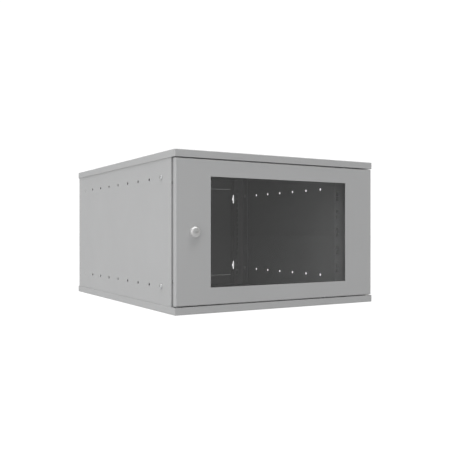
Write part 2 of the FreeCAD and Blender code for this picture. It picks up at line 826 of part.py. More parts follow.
def hinge_spring():
    """A compression spring between the guide's lower ear and the pin's collar."""
    body = new_body("hinge_spring")
    for axis, text in zip("xyz", ("x_hinge", "y_hinge", "z_spring")):
        body.setExpression(f"Placement.Base.{axis}", bound(text))
    wire = sketch_on(body, "XZ")
    circle(wire, "spring_diameter / 2", "spring_wire / 2", "spring_wire / 2")
    coil = body.newObject("PartDesign::AdditiveHelix", "Coil")
    coil.Profile = wire
    coil.ReferenceAxis = (wire, ["V_Axis"])
    coil.Mode = "height-turns-angle"
    coil.setExpression("Height", bound("z_collar - z_spring - spring_wire"))
    coil.setExpression("Turns", bound("spring_turns"))
    doc.recompute()
    return body


# ---------------------------------------------------------------------------------------------
# Cam lock: built head up at the front face of the door, then turned to face forwards
# ---------------------------------------------------------------------------------------------
BARREL = "(y_cam - y_door - lock_play)"


def face_forward(body):
    body.Placement = Placement(Vector(), TO_FRONT)
    for axis, text in zip("xyz", ("x_lock", "y_door", "z_mid")):
        body.setExpression(f"Placement.Base.{axis}", bound(text))


def lock_housing():
    body = new_body("lock_housing")
    face_forward(body)
    profile = sketch_on(body, "XZ")
    bore, barrel, head = "lock_plug / 2 + lock_play", "lock_barrel / 2", "lock_head_diameter / 2"
    polygon(profile, [(bore, f"-{BARREL}"), (barrel, f"-{BARREL}"), (barrel, "0"), (head, "0"),
                      (head, "lock_head_height"), (bore, "lock_head_height")])
    revolve(body, profile, "V_Axis")
    # in the body's own frame the head's top edge is the widest of the highest circles
    wide = number("lock_head_diameter")
    front = body.Tip.Shape.BoundBox.ZMax
    round_edges(body, "lock_head_round", lambda edge: near(edge.BoundBox.ZMax, front)
                and near(edge.BoundBox.ZMin, front) and near(edge.BoundBox.XLength, wide))
    return body


def lock_plug():
    body = new_body("lock_plug")
    face_forward(body)
    round_bar(body, "XY", f"-{BARREL}", "0", "0", "lock_plug", f"{BARREL} + lock_head_height - plug_recess")
    square = sketch_on(body, "XY", f"-{BARREL} - cam_steel")
    half = "cam_square / 2"
    rectangle(square, f"-{half}", half, f"-{half}", half)
    pad(body, square, "cam_steel")
    tapped = sketch_on(body, "XY", f"-{BARREL} - cam_steel")
    circle(tapped, "0", "0", "small_shank / 2 + lock_play / 2")
    cut(body, tapped, "cam_steel + cam_screw_length")
    slit = sketch_on(body, "XY", "lock_head_height - plug_recess - key_slit_depth")
    rectangle(slit, "-key_slit_length / 2", "key_slit_length / 2", "-key_slit_width / 2", "key_slit_width / 2")
    cut(body, slit, "key_slit_depth")
    return body


def lock_cam():
    """The cam, hanging down: the lock is undone, and a quarter turn takes it behind the side panel."""
    body = new_body("lock_cam")
    outline = sketch_on(body, "XZ", "y_cam")
    slot(outline, "x_lock", "z_mid - (cam_reach - cam_width / 2) / 2", "cam_reach + cam_width / 2", "cam_width")
    half = "(cam_square / 2 + lock_play / 2)"
    rectangle(outline, f"x_lock - {half}", f"x_lock + {half}", f"z_mid - {half}", f"z_mid + {half}")
    pad(body, outline, "cam_steel")
    return body


def glass_clip():
    """An angle clip at its stud: the long end holds the glass, the foot stands on the door skin."""
    body = new_body("glass_clip_master")
    end = "clip_foot_out - clip_stud_out"
    tip = "-(clip_stud_out + clip_hold)"
    profile = sketch_on(body, "YZ", "-clip_width / 2")
    foot = "-(glass_thick + gasket_thick)"
    polygon(profile, [("0", tip), ("clip_steel", tip), ("clip_steel", end), (foot, end),
                      (foot, f"{end} - clip_steel"), ("0", f"{end} - clip_steel")])
    pad(body, profile, "clip_width")
    hole = sketch_on(body, "XZ")
    circle(hole, "0", "0", "clip_stud / 2 + shank_play")
    cut(body, hole, "clip_steel")
    return body


def rubber_buffer():
    body = new_body("buffer_master")
    round_bar(body, "XY", "0", "0", "0", "buffer_diameter", "y_panel - y_door_rear - buffer_play")
    return body


def stud(name, x, y, z, length, forward):
    """A weld stud: upright, or standing on the door's skin and pointing back."""
    body = new_body(name)
    if forward:
        round_bar(body, "XZ", y, x, z, "bolt_shank", length)
    else:
        round_bar(body, "XY", z, x, y, "bolt_shank", length)
    return body


# ---------------------------------------------------------------------------------------------
# The nodes
# ---------------------------------------------------------------------------------------------
LEVELS = ("z_mid + hole_half_span", "z_mid - hole_half_span")
UNIT_TOP = "rack_unit - rack_edge_hole"

nodes = [
    cover("top_cover", False),
    cover("bottom_cover", True),
    side_panel("right_side_panel", False),
    side_panel("left_side_panel", True),
    back_panel(),
    entry_plate("top_entry_plate", False),
    entry_plate("bottom_entry_plate", True),
]
for side, turned in (("right", False), ("left", True)):
    nodes.append(rail(f"front_{side}_rail", "y_front_rail", "front_rail_flange",
                      ["rack_edge_hole", UNIT_TOP], "y_first_hole", turned))
    nodes.append(rail(f"rear_{side}_rail", "y_rear_rail", "rear_rail_flange",
                      ["rack_edge_hole", "rack_edge_hole + rack_middle_hole", UNIT_TOP], "y_last_hole", turned))

nodes += [door_frame(), glass(), gasket()]
nodes += [hinge_bracket("upper_hinge_bracket"), hinge_bracket("lower_hinge_bracket", lower=True),
          lower_hinge_pin(), hinge_washer(), upper_hinge_pin(), pin_guide(), hinge_spring()]
nodes += [lock_housing(), lock_plug(), lock_cam()]

# panel fasteners
rail_bolt = screw("rail_bolt_master", "bolt_shank", "bolt_length", "bolt_head", "bolt_head_height")
rail_nut = nut("rail_nut_master", "nut_flats", "nut_thick", "bolt_shank / 2 + lock_play / 2")
cover_screw = screw("cover_screw_master", "bolt_shank", "2 * skin - end_below_skin", "bolt_head",
                    "low_head_height")
rear_screw = screw("rear_screw_master", "bolt_shank", "rail_steel + skin - end_below_skin", "bolt_head",
                   "low_head_height")
small_screw = screw("small_screw_master", "small_shank", "2 * skin - end_below_skin", "small_head",
                    "small_head_height")
bracket_screw = screw("bracket_screw_master", "small_shank", "bracket_steel + 2 * skin", "small_head",
                      "small_head_height")
FLANGE = "x_panel_in - rail_steel"
SIDES = (("", TO_RIGHT, TO_LEFT), ("-", TO_LEFT, TO_RIGHT))
nodes.append(group("front_rail_bolts", rail_bolt, [
    (f"{sign}(x_panel)", "y_first_hole", level, outward) for sign, outward, _ in SIDES for level in LEVELS]))
nodes.append(group("front_rail_nuts", rail_nut, [
    (f"{sign}({FLANGE})", "y_first_hole", level, inward) for sign, _, inward in SIDES for level in LEVELS]))
nodes.append(group("rear_rail_screws", rear_screw, [
    (f"{sign}({FLANGE})", "y_last_hole", level, inward) for sign, _, inward in SIDES for level in LEVELS]))
SEATS = (("z_seat - skin", DOWN), ("2 * skin", UP))
nodes.append(group("cover_screws", cover_screw, [
    (f"{sign}(x_cover_screw)", f"{end}(y_cover_screw)", level, turn)
    for level, turn in SEATS for sign in ("-", "") for end in ("-", "")]))
nodes.append(group("entry_plate_screws", small_screw, [
    (f"{sign}(entry_width / 2 + entry_plate_lap / 2)", f"y_entry + {end}(entry_depth / 4)", level, turn)
    for level, turn in SEATS for sign in ("-", "") for end in ("-", "")]))
nodes.append(group("back_panel_screws", small_screw, [
    (f"{sign}(x_keyhole)", "y_lip", f"z_mid + {end}(back_screw_half_span)", TO_BACK)
    for sign in ("-", "") for end in ("-", "")]))
nodes.append(group("hinge_bracket_screws", bracket_screw, [
    ("x_hinge", "y_panel - bracket_steel", level, TO_FRONT)
    for level in ("z_bracket_screw", "outer_height - z_bracket_screw")]))

# door fittings
clip_nut = nut("clip_nut_master", "small_nut_flats", "small_nut_thick", "clip_stud / 2 + lock_play / 2")
clip = glass_clip()
nodes.append(group("glass_clips", clip, [
    (x, "y_glass_rear", z, Rotation(Vector(0, 1, 0), turn)) for x, z, turn in clip_spots()]))
nodes.append(group("glass_clip_nuts", clip_nut, [
    (x, "y_glass_rear + clip_steel", z, TO_BACK) for x, z, _ in clip_spots()]))
barrel_nut = nut("barrel_nut_master", "lock_nut_flats", "lock_nut_thick", "lock_barrel / 2 + lock_play / 2")
nodes.append(group("lock_nut", barrel_nut, [("x_lock", "y_door_skin", "z_mid", TO_BACK)]))
cam_screw = screw("cam_screw_master", "small_shank", "cam_screw_length", "bolt_head", "low_head_height")
nodes.append(group("cam_screw", cam_screw, [("x_lock", "y_cam + cam_steel", "z_mid", TO_BACK)]))
nodes.append(group("door_buffers", rubber_buffer(), [
    ("-(x_panel - front_flange / 2)", "y_panel", f"z_mid + {end}(buffer_half_span)", TO_FRONT)
    for end in ("-", "")]))

# earthing points
nodes.append(stud("cabinet_earth_stud", "x_side - earth_stud_from_side", "y_front + earth_stud_from_front",
                  "skin", "stud_length", False))
nodes.append(group("cabinet_earth_nut", rail_nut, [
    ("x_side - earth_stud_from_side", "y_front + earth_stud_from_front", "skin", UP)]))
nodes.append(stud("door_earth_stud", "x_door - door_stud_from_side", "y_door_skin", "z_door + door_stud_up",
                  "clip_stud_length", True))
nodes.append(group("door_earth_nut", rail_nut, [
    ("x_door - door_stud_from_side", "y_door_skin", "z_door + door_stud_up", TO_BACK)]))

# ---------------------------------------------------------------------------------------------
# Check every object, then write one STEP file for each node
# ---------------------------------------------------------------------------------------------
doc.recompute()
failed = [item.Label for item in doc.Objects if {"Invalid", "Error"} & set(item.State)]
if failed:
    raise ValueError(f"these objects did not compute: {failed}")
os.makedirs("parts", exist_ok=True)
for node in nodes:
    shape = node.Shape
    if shape.isNull() or not shape.isValid() or not shape.Solids:
        raise ValueError(f"{node.Label} has no valid solid")
    box = shape.BoundBox
    print(f"{node.Label:22s} solids {len(shape.Solids):2d}  {shape.Volume / 1000:9.2f} cm3"
          f"  X {box.XMin:8.2f} {box.XMax:8.2f}  Y {box.YMin:8.2f} {box.YMax:8.2f}"
          f"  Z {box.ZMin:8.2f} {box.ZMax:8.2f}")
    shape.exportStep(f"parts/{node.Label}.step")
print(len(nodes), "nodes")
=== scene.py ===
# %% [markdown]
# # A wall mount network cabinet
# This lesson dresses a measured sheet-metal cabinet for the camera. Its solids come from a CAD model and
# already have their true sizes, so they are loaded as a frame and never moved. Blender adds what the
# frame lacks: the powder coat, the plated fasteners with their threads, the lock's turned face, the
# tinted pane, and the light of a small studio.

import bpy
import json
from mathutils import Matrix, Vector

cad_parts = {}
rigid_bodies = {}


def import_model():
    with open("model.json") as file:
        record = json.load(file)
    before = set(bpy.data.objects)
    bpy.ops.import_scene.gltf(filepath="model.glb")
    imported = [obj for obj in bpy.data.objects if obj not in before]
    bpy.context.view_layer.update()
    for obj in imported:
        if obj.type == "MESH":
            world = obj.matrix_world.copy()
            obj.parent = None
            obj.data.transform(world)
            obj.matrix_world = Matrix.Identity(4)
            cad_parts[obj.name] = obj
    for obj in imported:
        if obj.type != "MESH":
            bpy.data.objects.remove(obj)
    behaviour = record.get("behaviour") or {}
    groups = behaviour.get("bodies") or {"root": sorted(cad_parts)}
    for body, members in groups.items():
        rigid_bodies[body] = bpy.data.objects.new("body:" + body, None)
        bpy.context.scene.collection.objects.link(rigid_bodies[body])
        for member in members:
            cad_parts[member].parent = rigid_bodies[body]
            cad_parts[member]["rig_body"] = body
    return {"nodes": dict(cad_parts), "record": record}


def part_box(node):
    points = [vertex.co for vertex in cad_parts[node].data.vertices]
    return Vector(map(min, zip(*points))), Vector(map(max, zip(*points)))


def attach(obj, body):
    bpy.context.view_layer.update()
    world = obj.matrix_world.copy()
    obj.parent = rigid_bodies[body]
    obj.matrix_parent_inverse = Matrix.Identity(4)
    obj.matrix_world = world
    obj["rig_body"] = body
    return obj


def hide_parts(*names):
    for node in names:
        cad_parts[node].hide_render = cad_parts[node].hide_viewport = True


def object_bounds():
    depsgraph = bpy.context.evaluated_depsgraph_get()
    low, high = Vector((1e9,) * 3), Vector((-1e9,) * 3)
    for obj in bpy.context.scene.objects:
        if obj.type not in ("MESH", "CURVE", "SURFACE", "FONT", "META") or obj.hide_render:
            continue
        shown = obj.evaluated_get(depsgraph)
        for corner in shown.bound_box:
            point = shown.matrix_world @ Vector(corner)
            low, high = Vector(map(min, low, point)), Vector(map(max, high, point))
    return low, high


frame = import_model()
cad_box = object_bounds()
nodes = frame["nodes"]

# %% [markdown]
# The libraries come next. `bmesh` builds the small turned and threaded pieces, `mathutils` holds vectors
# and turns, and `json` is loaded as well. Blender works in metres. Sizes of pieces are written in
# millimetres, as a maker would, and `MM` turns them.

# %% Libraries and units
import json
import math

import bmesh
import bpy
from mathutils import Matrix, Vector

MM = 0.001
scene = bpy.context.scene
print("cabinet box, mm:", [round((high - low) / MM, 1) for low, high in zip(*cad_box)])

# %% [markdown]
# ## The camera
# The cabinet is looked at from its front left with a level camera at half its height, so every upright
# edge stays upright. A level camera with a small lens shift does that, as a view camera does. Turning
# the camera up or down instead would make the upright edges lean.

# %% A level camera
EYE = Vector((-826.7, -1418.9, 166.0)) * MM
HEADING = math.radians(29.438)
SENSOR = 36.0
camera_data = bpy.data.cameras.new("studio_camera")
camera_data.sensor_width = SENSOR
camera_data.lens = 50.611
camera_data.shift_x = 0.0453
camera_data.shift_y = 0.0157
camera_data.clip_end = 60.0
camera = bpy.data.objects.new("studio_camera", camera_data)
camera.location = EYE
camera.rotation_euler = (math.radians(90.0), 0.0, -HEADING)
scene.collection.objects.link(camera)
scene.camera = camera
print("camera stands", round(EYE.length, 3), "m from the foot of the cabinet")

# %% [markdown]
# ## Light and floor
# A catalogue cabinet stands on white and has no hard shadow. A bright even sky would light it, but it
# would be mirrored all over the pane, and the inside could no longer be seen. So the studio is dark
# above, and large soft boxes do the work. The top box lights the lips and the front and leaves the
# shadows under them. Two boxes on the left make the side lighter than the front. The small key gives the
# screws and the lock their highlights. The boxes stand six metres off, because a nearer box makes a
# panel brighter at one end. Only the foot of the wall is pale, as in a cove, and fades upwards between
# two angles. The pane mirrors it, so there is no dark line where the floor ends. The camera alone sees
# plain white all round.

# %% Sky, floor and soft boxes
SKY_SEEN = 1.06
WALL_FOOT = 0.56
WALL_FILL = 0.16
WALL_FADE = (5.0, 12.0)
LIGHTS = {
    # name: (shape, place in metres, width, height, power in watts)
    "top_box": ("DISK", (0.0, 0.0, 6.17), 6.93, 6.93, 580.0),
    "left_box": ("RECTANGLE", (-5.74, 0.0, 1.93), 5.34, 3.8, 96.0),
    "front_left_box": ("RECTANGLE", (-4.06, -4.06, 1.93), 4.6, 3.8, 60.0),
    "key_box": ("RECTANGLE", (-2.96, -2.48, 4.77), 1.4, 1.4, 9.0),
}
AIM = Vector((0.0, 0.0, 0.17))


def soft_box(name, shape, place, width, height, power):
    """An area light that looks at the middle of the cabinet."""
    data = bpy.data.lights.new(name, "AREA")
    data.shape = shape
    data.size = width
    if shape == "RECTANGLE":
        data.size_y = height
    data.energy = power
    made = bpy.data.objects.new(name, data)
    made.location = place
    made.rotation_euler = (AIM - Vector(place)).to_track_quat("-Z", "Y").to_euler()
    made.visible_camera = False
    scene.collection.objects.link(made)
    return made


def studio_sky():
    """A pale wall foot under a dark upper studio; the camera alone sees plain white."""
    sky = bpy.data.worlds.new("studio_sky")
    sky.use_nodes = True
    tree = sky.node_tree
    tree.nodes.clear()
    place = tree.nodes.new("ShaderNodeTexCoord")
    axes = tree.nodes.new("ShaderNodeSeparateXYZ")
    wall = tree.nodes.new("ShaderNodeMapRange")
    wall.inputs["From Min"].default_value = math.sin(math.radians(WALL_FADE[0]))
    wall.inputs["From Max"].default_value = math.sin(math.radians(WALL_FADE[1]))
    wall.inputs["To Min"].default_value = WALL_FOOT
    wall.inputs["To Max"].default_value = WALL_FILL
    path = tree.nodes.new("ShaderNodeLightPath")
    seen = tree.nodes.new("ShaderNodeBackground")
    fill = tree.nodes.new("ShaderNodeBackground")
    mix = tree.nodes.new("ShaderNodeMixShader")
    out = tree.nodes.new("ShaderNodeOutputWorld")
    for background in (seen, fill):
        background.inputs["Color"].default_value = (1.0, 1.0, 1.0, 1.0)
    seen.inputs["Strength"].default_value = SKY_SEEN
    tree.links.new(place.outputs["Generated"], axes.inputs[0])
    tree.links.new(axes.outputs["Z"], wall.inputs["Value"])
    tree.links.new(wall.outputs["Result"], fill.inputs["Strength"])
    tree.links.new(path.outputs["Is Camera Ray"], mix.inputs[0])
    tree.links.new(fill.outputs[0], mix.inputs[1])
    tree.links.new(seen.outputs[0], mix.inputs[2])
    tree.links.new(mix.outputs[0], out.inputs["Surface"])
    scene.world = sky
    return sky


studio_sky()
for light_name, light in LIGHTS.items():
    soft_box(light_name, *light)
scene.view_settings.view_transform = "Standard"
print("lights:", ", ".join(LIGHTS))

# %% [markdown]
# The floor is one large pale sheet, far wider than the view, so no edge of it is ever seen. A lit table
# would do, but its white would change with every lamp. A faint even glow is steadier: it lights the
# underside of the lips and the lower pane from below, and a second value sets how white the table looks.

# %% The floor
FLOOR_SIZE = 40.0
FLOOR_TONE = 0.05
FLOOR_GLOW = 0.57
FLOOR_SEEN = 1.0


def pale_floor():
    """A wide pale sheet under the cabinet, which is not part of it."""
    mesh = bpy.data.meshes.new("studio_floor")
    half = FLOOR_SIZE / 2
    corners = [(-half, -half, 0), (half, -half, 0), (half, half, 0), (-half, half, 0)]
    mesh.from_pydata(corners, [], [(0, 1, 2, 3)])
    floor = bpy.data.objects.new("studio_floor", mesh)
    finish = bpy.data.materials.new("studio_table")
    finish.use_nodes = True
    tree = finish.node_tree
    surface = tree.nodes["Principled BSDF"]
    surface.inputs["Base Color"].default_value = (FLOOR_TONE, FLOOR_TONE, FLOOR_TONE, 1.0)
    surface.inputs["Roughness"].default_value = 0.9
    surface.inputs["Specular IOR Level"].default_value = 0.1
    surface.inputs["Emission Color"].default_value = (1.0, 1.0, 1.0, 1.0)
    path = tree.nodes.new("ShaderNodeLightPath")
    glow = tree.nodes.new("ShaderNodeMapRange")
    glow.inputs["To Min"].default_value = FLOOR_GLOW
    glow.inputs["To Max"].default_value = FLOOR_SEEN
    tree.links.new(path.outputs["Is Camera Ray"], glow.inputs["Value"])
    tree.links.new(glow.outputs["Result"], surface.inputs["Emission Strength"])
    mesh.materials.append(finish)
    scene.collection.objects.link(floor)
    return floor


floor = pale_floor()
print("floor", FLOOR_SIZE, "m wide")

# %% [markdown]
# ## Building finishes from nodes
# Every finish below is procedural: noise and waves in the piece's own coordinates drive the colour, the
# roughness and a fine relief. Images would need unwrapping and would blur close up. Short helpers keep
# the node trees readable: they start a finish, add a node, join two sockets, and make the noise, the
# range and the relief that every finish uses.

# %% Helpers for node trees
def new_finish(name):
    """A named material; returns it with its tree and its main shader."""
    finish = bpy.data.materials.new(name)
    finish.use_nodes = True
    return finish, finish.node_tree, finish.node_tree.nodes["Principled BSDF"]


def add(tree, kind, inputs=None, **settings):
    """One shader node, with its input values and its own settings."""
    made = tree.nodes.new("ShaderNode" + kind)
    for key, value in settings.items():
        setattr(made, key, value)
    for key, value in (inputs or {}).items():
        made.inputs[key].default_value = value
    return made


def join(tree, source, out, target, socket):
    """Wire one node's output into another node's input."""
    tree.links.new(source.outputs[out], target.inputs[socket])


def noise(tree, place, cell_mm, detail=2.0, rough=0.5):
    """Cloudy noise whose blobs are about cell_mm across, in the piece's own coordinates."""
    made = add(tree, "TexNoise", {"Scale": 1.0 / (cell_mm * MM), "Detail": detail, "Roughness": rough})
    join(tree, place, "Object", made, "Vector")
    return made


def spread(tree, source, out, low, high, from_low=0.3, from_high=0.7):
    """Stretch a noise value to a wanted range."""
    limits = {"From Min": from_low, "From Max": from_high, "To Min": low, "To Max": high}
    made = add(tree, "MapRange", limits)
    join(tree, source, out, made, "Value")
    return made


def relief(tree, height, out, depth_mm, under=None, strength=1.0):
    """A bump of that depth, laid over the normal of the node named under."""
    made = add(tree, "Bump", {"Distance": depth_mm * MM, "Strength": strength})
    join(tree, height, out, made, "Height")
    if under:
        join(tree, under, "Normal", made, "Normal")
    return made


print("helpers ready")

# %% [markdown]
# ## Powder coat
# The steel is sprayed with powder and baked. The film flows into a faint orange peel a few millimetres
# wide, with a much finer grain on top, and it draws back from sharp edges, so it is a little thinner and
# smoother there. The edges are also painted a little lighter, a painted highlight along every edge. A
# real bevel on each of the thousands of edges would be heavy, so the Bevel node rounds them in the
# shading only, and the same node finds the edges for the thinner film and the painted highlight.

# %% The grey powder coat
COAT_TONE = (0.500, 0.503, 0.505)
COAT_EDGE_MM = 0.5


def grey_powder_coat():
    """Baked powder: a drifting tone, an orange peel, smoother edges and a painted highlight on them."""
    finish, tree, shader = new_finish("grey_powder_coat")
    place = add(tree, "TexCoord")
    clouds = noise(tree, place, 160.0, detail=3.0)
    grain = noise(tree, place, 0.9, detail=2.0)
    peel = noise(tree, place, 3.2, detail=1.0)
    haze = noise(tree, place, 55.0, detail=4.0, rough=0.6)

    # tone: slow drift of a percent or two, and a fine mottle from the pigment
    drift = spread(tree, clouds, "Fac", 0.985, 1.015)
    mottle = spread(tree, grain, "Fac", 0.975, 1.025)
    both = add(tree, "Math", operation="MULTIPLY")
    join(tree, drift, "Result", both, 0)
    join(tree, mottle, "Result", both, 1)

    # edges: the difference between the rounded normal and the true one marks the smoother film and the
    # painted edge highlight
    bevel = add(tree, "Bevel", {"Radius": COAT_EDGE_MM * MM}, samples=6)
    shape = add(tree, "NewGeometry")
    turn = add(tree, "VectorMath", operation="DOT_PRODUCT")
    join(tree, bevel, "Normal", turn, 0)
    join(tree, shape, "Normal", turn, 1)
    thin_film_and_painted_highlight = add(tree, "MapRange", {"From Min": 0.99, "From Max": 0.80, "To Min": 0.0, "To Max": 1.0})
    join(tree, turn, "Value", thin_film_and_painted_highlight, "Value")

    base = add(tree, "VectorMath", operation="SCALE")
    base.inputs[0].default_value = COAT_TONE
    join(tree, both, "Value", base, "Scale")
    # painted highlight: the edges are painted 12 per cent lighter than the coat
    painted_edge_highlight = add(tree, "Mix", data_type="RGBA")
    painted_edge_highlight.inputs[7].default_value = (*[min(1.0, tone * 1.12) for tone in COAT_TONE], 1.0)
    join(tree, thin_film_and_painted_highlight, "Result", painted_edge_highlight, 0)
    tree.links.new(base.outputs["Vector"], painted_edge_highlight.inputs[6])
    tree.links.new(painted_edge_highlight.outputs[2], shader.inputs["Base Color"])

    # gloss: satin, patchy at hand scale, smoother on the thin edges
    satin = spread(tree, haze, "Fac", 0.44, 0.54)
    edge_gloss = add(tree, "Math", {1: -0.08}, operation="MULTIPLY_ADD")
    join(tree, thin_film_and_painted_highlight, "Result", edge_gloss, 0)
    join(tree, satin, "Result", edge_gloss, 2)
    join(tree, edge_gloss, "Value", shader, "Roughness")

    ripple = relief(tree, peel, "Fac", 0.05, under=bevel, strength=0.35)
    texture = relief(tree, grain, "Fac", 0.02, under=ripple, strength=0.5)
    join(tree, texture, "Normal", shader, "Normal")
    shader.inputs["IOR"].default_value = 1.5
    shader.inputs["Specular IOR Level"].default_value = 0.45
    return finish


powder_coat = grey_powder_coat()
print("powder coat:", len(powder_coat.node_tree.nodes), "nodes")

# %% [markdown]
# ## Plated steel
# The screws, nuts, brackets and pins are zinc plated: a cool, slightly cloudy metal with fine scratches
# from the barrel they were plated in. The tone drifts between blue and straw. One noise gives the
# clouds, a finer one the duller and brighter spots, and a stretched one the scratches. The lock's nickel
# is a blasted satin, so it is much rougher and spreads the light over its whole head.

# %% Zinc, nickel and spring wire
def plated_metal(name, tone, tint, rough_low, rough_high, scratch_mm):
    """A metal whose tone drifts between two tints, with a fine scratched relief."""
    finish, tree, shader = new_finish(name)
    place = add(tree, "TexCoord")
    clouds = noise(tree, place, 7.0, detail=3.0)
    fine = noise(tree, place, 0.7, detail=3.0, rough=0.6)
    share = spread(tree, clouds, "Fac", 0.0, 1.0)
    blend = add(tree, "Mix", data_type="RGBA")
    blend.inputs[6].default_value = (*tone, 1.0)
    blend.inputs[7].default_value = (*tint, 1.0)
    join(tree, share, "Result", blend, 0)
    tree.links.new(blend.outputs[2], shader.inputs["Base Color"])
    rough = spread(tree, fine, "Fac", rough_low, rough_high)
    join(tree, rough, "Result", shader, "Roughness")
    stretch = add(tree, "Mapping")
    stretch.inputs["Scale"].default_value = (1.0, 1.0, 9.0)
    join(tree, place, "Object", stretch, "Vector")
    scratches = add(tree, "TexNoise", {"Scale": 1.0 / (scratch_mm * MM), "Detail": 2.0})
    join(tree, stretch, "Vector", scratches, "Vector")
    bevel = add(tree, "Bevel", {"Radius": 0.25 * MM}, samples=4)
    bump = relief(tree, scratches, "Fac", 0.006, under=bevel, strength=0.4)
    join(tree, bump, "Normal", shader, "Normal")
    shader.inputs["Metallic"].default_value = 1.0
    return finish


zinc = plated_metal("bright_zinc", (0.74, 0.75, 0.77), (0.68, 0.68, 0.66), 0.30, 0.42, 1.4)
nickel = plated_metal("satin_nickel", (0.76, 0.76, 0.76), (0.73, 0.725, 0.715), 0.57, 0.63, 0.8)
spring_steel = plated_metal("oiled_spring_wire", (0.30, 0.30, 0.31), (0.22, 0.21, 0.20), 0.25, 0.42, 0.6)
print("metals:", zinc.name, nickel.name, spring_steel.name)

# %% [markdown]
# ## Tinted pane
# The door holds grey safety glass. Glass that truly bends light would also stop the lamps at its
# surface, and the cabinet behind it would go black. A see-through shader that darkens what passes,
# mixed with a mirror, lets both the eye and the lamps through. The mirror's share grows from about four
# per cent head-on to all at a grazing look, by Schlick's fifth power rule; a Fresnel node would mirror
# far too much on the pane's back, since it takes the look there to come from inside the glass. Two faces
# are crossed each way, so each face takes the square root of the whole tint.

# %% The tinted glass
PANE_PASSES = 0.775
PANE_MIRROR = 0.036


def tinted_glass():
    """A faint mirror over a clear grey tint that lamps can pass as well."""
    finish, tree, shader = new_finish("grey_tinted_glass")
    tree.nodes.remove(shader)
    out = tree.nodes["Material Output"]
    place = add(tree, "TexCoord")
    film = noise(tree, place, 90.0, detail=4.0, rough=0.65)
    face = math.sqrt(PANE_PASSES)
    through = add(tree, "BsdfTransparent", {"Color": (face, face * 1.002, face * 1.002, 1.0)})
    mirror = add(tree, "BsdfGlossy", {"Color": (1.0, 1.0, 1.0, 1.0)})
    smear = spread(tree, film, "Fac", 0.01, 0.06)
    join(tree, smear, "Result", mirror, "Roughness")
    tilt = add(tree, "LayerWeight", {"Blend": 0.5})
    steep = add(tree, "Math", {1: 5.0}, operation="POWER")
    join(tree, tilt, "Facing", steep, 0)
    share = add(tree, "Math", {1: 1.0 - PANE_MIRROR, 2: PANE_MIRROR}, operation="MULTIPLY_ADD")
    join(tree, steep, "Value", share, 0)
    mix = add(tree, "MixShader")
    join(tree, share, "Value", mix, 0)
    join(tree, through, 0, mix, 1)
    join(tree, mirror, 0, mix, 2)
    join(tree, mix, 0, out, "Surface")
    return finish


pane_glass = tinted_glass()
print("the pane passes", PANE_PASSES, "of the light")

# %% [markdown]
# ## Rubber, foam and nylon
# The soft and moulded bits are small, but they are seen when the door is open. The rubber of the bumpers
# is a dark grey with a dry bloom, so that it doesn't show as a dot in the gap beside the door. The foam
# tape is full of tiny cells, and natural nylon is milky because light goes a little way into it.

# %% Rubber, foam and nylon
def moulded(name, tone, rough, cell_mm, depth_mm, milky=0.0):
    """A moulded or foamed plastic with cells of that size."""
    finish, tree, shader = new_finish(name)
    place = add(tree, "TexCoord")
    cells = add(tree, "TexVoronoi", {"Scale": 1.0 / (cell_mm * MM)})
    join(tree, place, "Object", cells, "Vector")
    bloom = noise(tree, place, 9.0, detail=4.0)
    shade = add(tree, "Mix", data_type="RGBA")
    shade.inputs[6].default_value = (*tone, 1.0)
    shade.inputs[7].default_value = (*[min(1.0, value * 1.35) for value in tone], 1.0)
    share = spread(tree, bloom, "Fac", 0.0, 1.0)
    join(tree, share, "Result", shade, 0)
    tree.links.new(shade.outputs[2], shader.inputs["Base Color"])
    gloss = spread(tree, bloom, "Fac", rough, rough + 0.12)
    join(tree, gloss, "Result", shader, "Roughness")
    bump = relief(tree, cells, "Distance", depth_mm, strength=0.6)
    join(tree, bump, "Normal", shader, "Normal")
    shader.inputs["Subsurface Weight"].default_value = milky
    shader.inputs["Subsurface Radius"].default_value = (0.002, 0.002, 0.002)
    return finish


rubber = moulded("dark_grey_rubber", (0.15, 0.15, 0.152), 0.55, 1.1, 0.02)
foam = moulded("foam_tape", (0.05, 0.05, 0.05), 0.80, 0.5, 0.08)
nylon = moulded("natural_nylon", (0.72, 0.71, 0.66), 0.32, 1.6, 0.01, milky=0.25)
print("moulded finishes ready")

# %% [markdown]
# ## Give every measured piece its finish
# The record names a material slot for each piece. One table from slot to finish dresses them all, so a
# new piece in the CAD model gets the right finish by itself.

# %% Finishes by slot
FINISH_OF_SLOT = {
    "painted_steel": powder_coat,
    "zinc_plate": zinc,
    "lock_chrome": nickel,
    "tinted_glass": pane_glass,
    "foam_tape": foam,
    "black_rubber": rubber,
    "white_nylon": nylon,
    "spring_steel": spring_steel,
}
slot_of_node = {part["node"]: part["material_slot"] for part in frame["record"]["subparts"]}
for name, piece in nodes.items():
    piece.data.materials.clear()
    piece.data.materials.append(FINISH_OF_SLOT[slot_of_node[name]])
print("dressed", len(nodes), "pieces")

# %% [markdown]
# ## Where the small pieces sit
# The CAD model groups its screws: one node holds eight of them. To set a detailed screw in each place,
# the script needs each solid's own box. The vertices of a node are joined where they meet and then
# walked along their edges, and every set that hangs together is one solid.

# %% The box of each solid in a node
def solids_of(name):
    """(lowest corner, highest corner) of every separate solid in a measured node, in a fixed order."""
    bm = bmesh.new()
    bm.from_mesh(nodes[name].data)
    bmesh.ops.remove_doubles(bm, verts=bm.verts, dist=0.001 * MM)
    unseen = set(bm.verts)
    boxes = []
    for first in list(bm.verts):
        if first not in unseen:
            continue
        unseen.discard(first)
        waiting, found = [first], [first.co.copy()]
        while waiting:
            for edge in waiting.pop().link_edges:
                for vert in edge.verts:
                    if vert in unseen:
                        unseen.discard(vert)
                        waiting.append(vert)
                        found.append(vert.co.copy())
        low = Vector(min(co[i] for co in found) for i in range(3))
        high = Vector(max(co[i] for co in found) for i in range(3))
        boxes.append((low, high))
    bm.free()
    return sorted(boxes, key=lambda box: tuple(round(value, 5) for value in box[0]))


print("screws on the front rails:", len(solids_of("front_rail_bolts")))

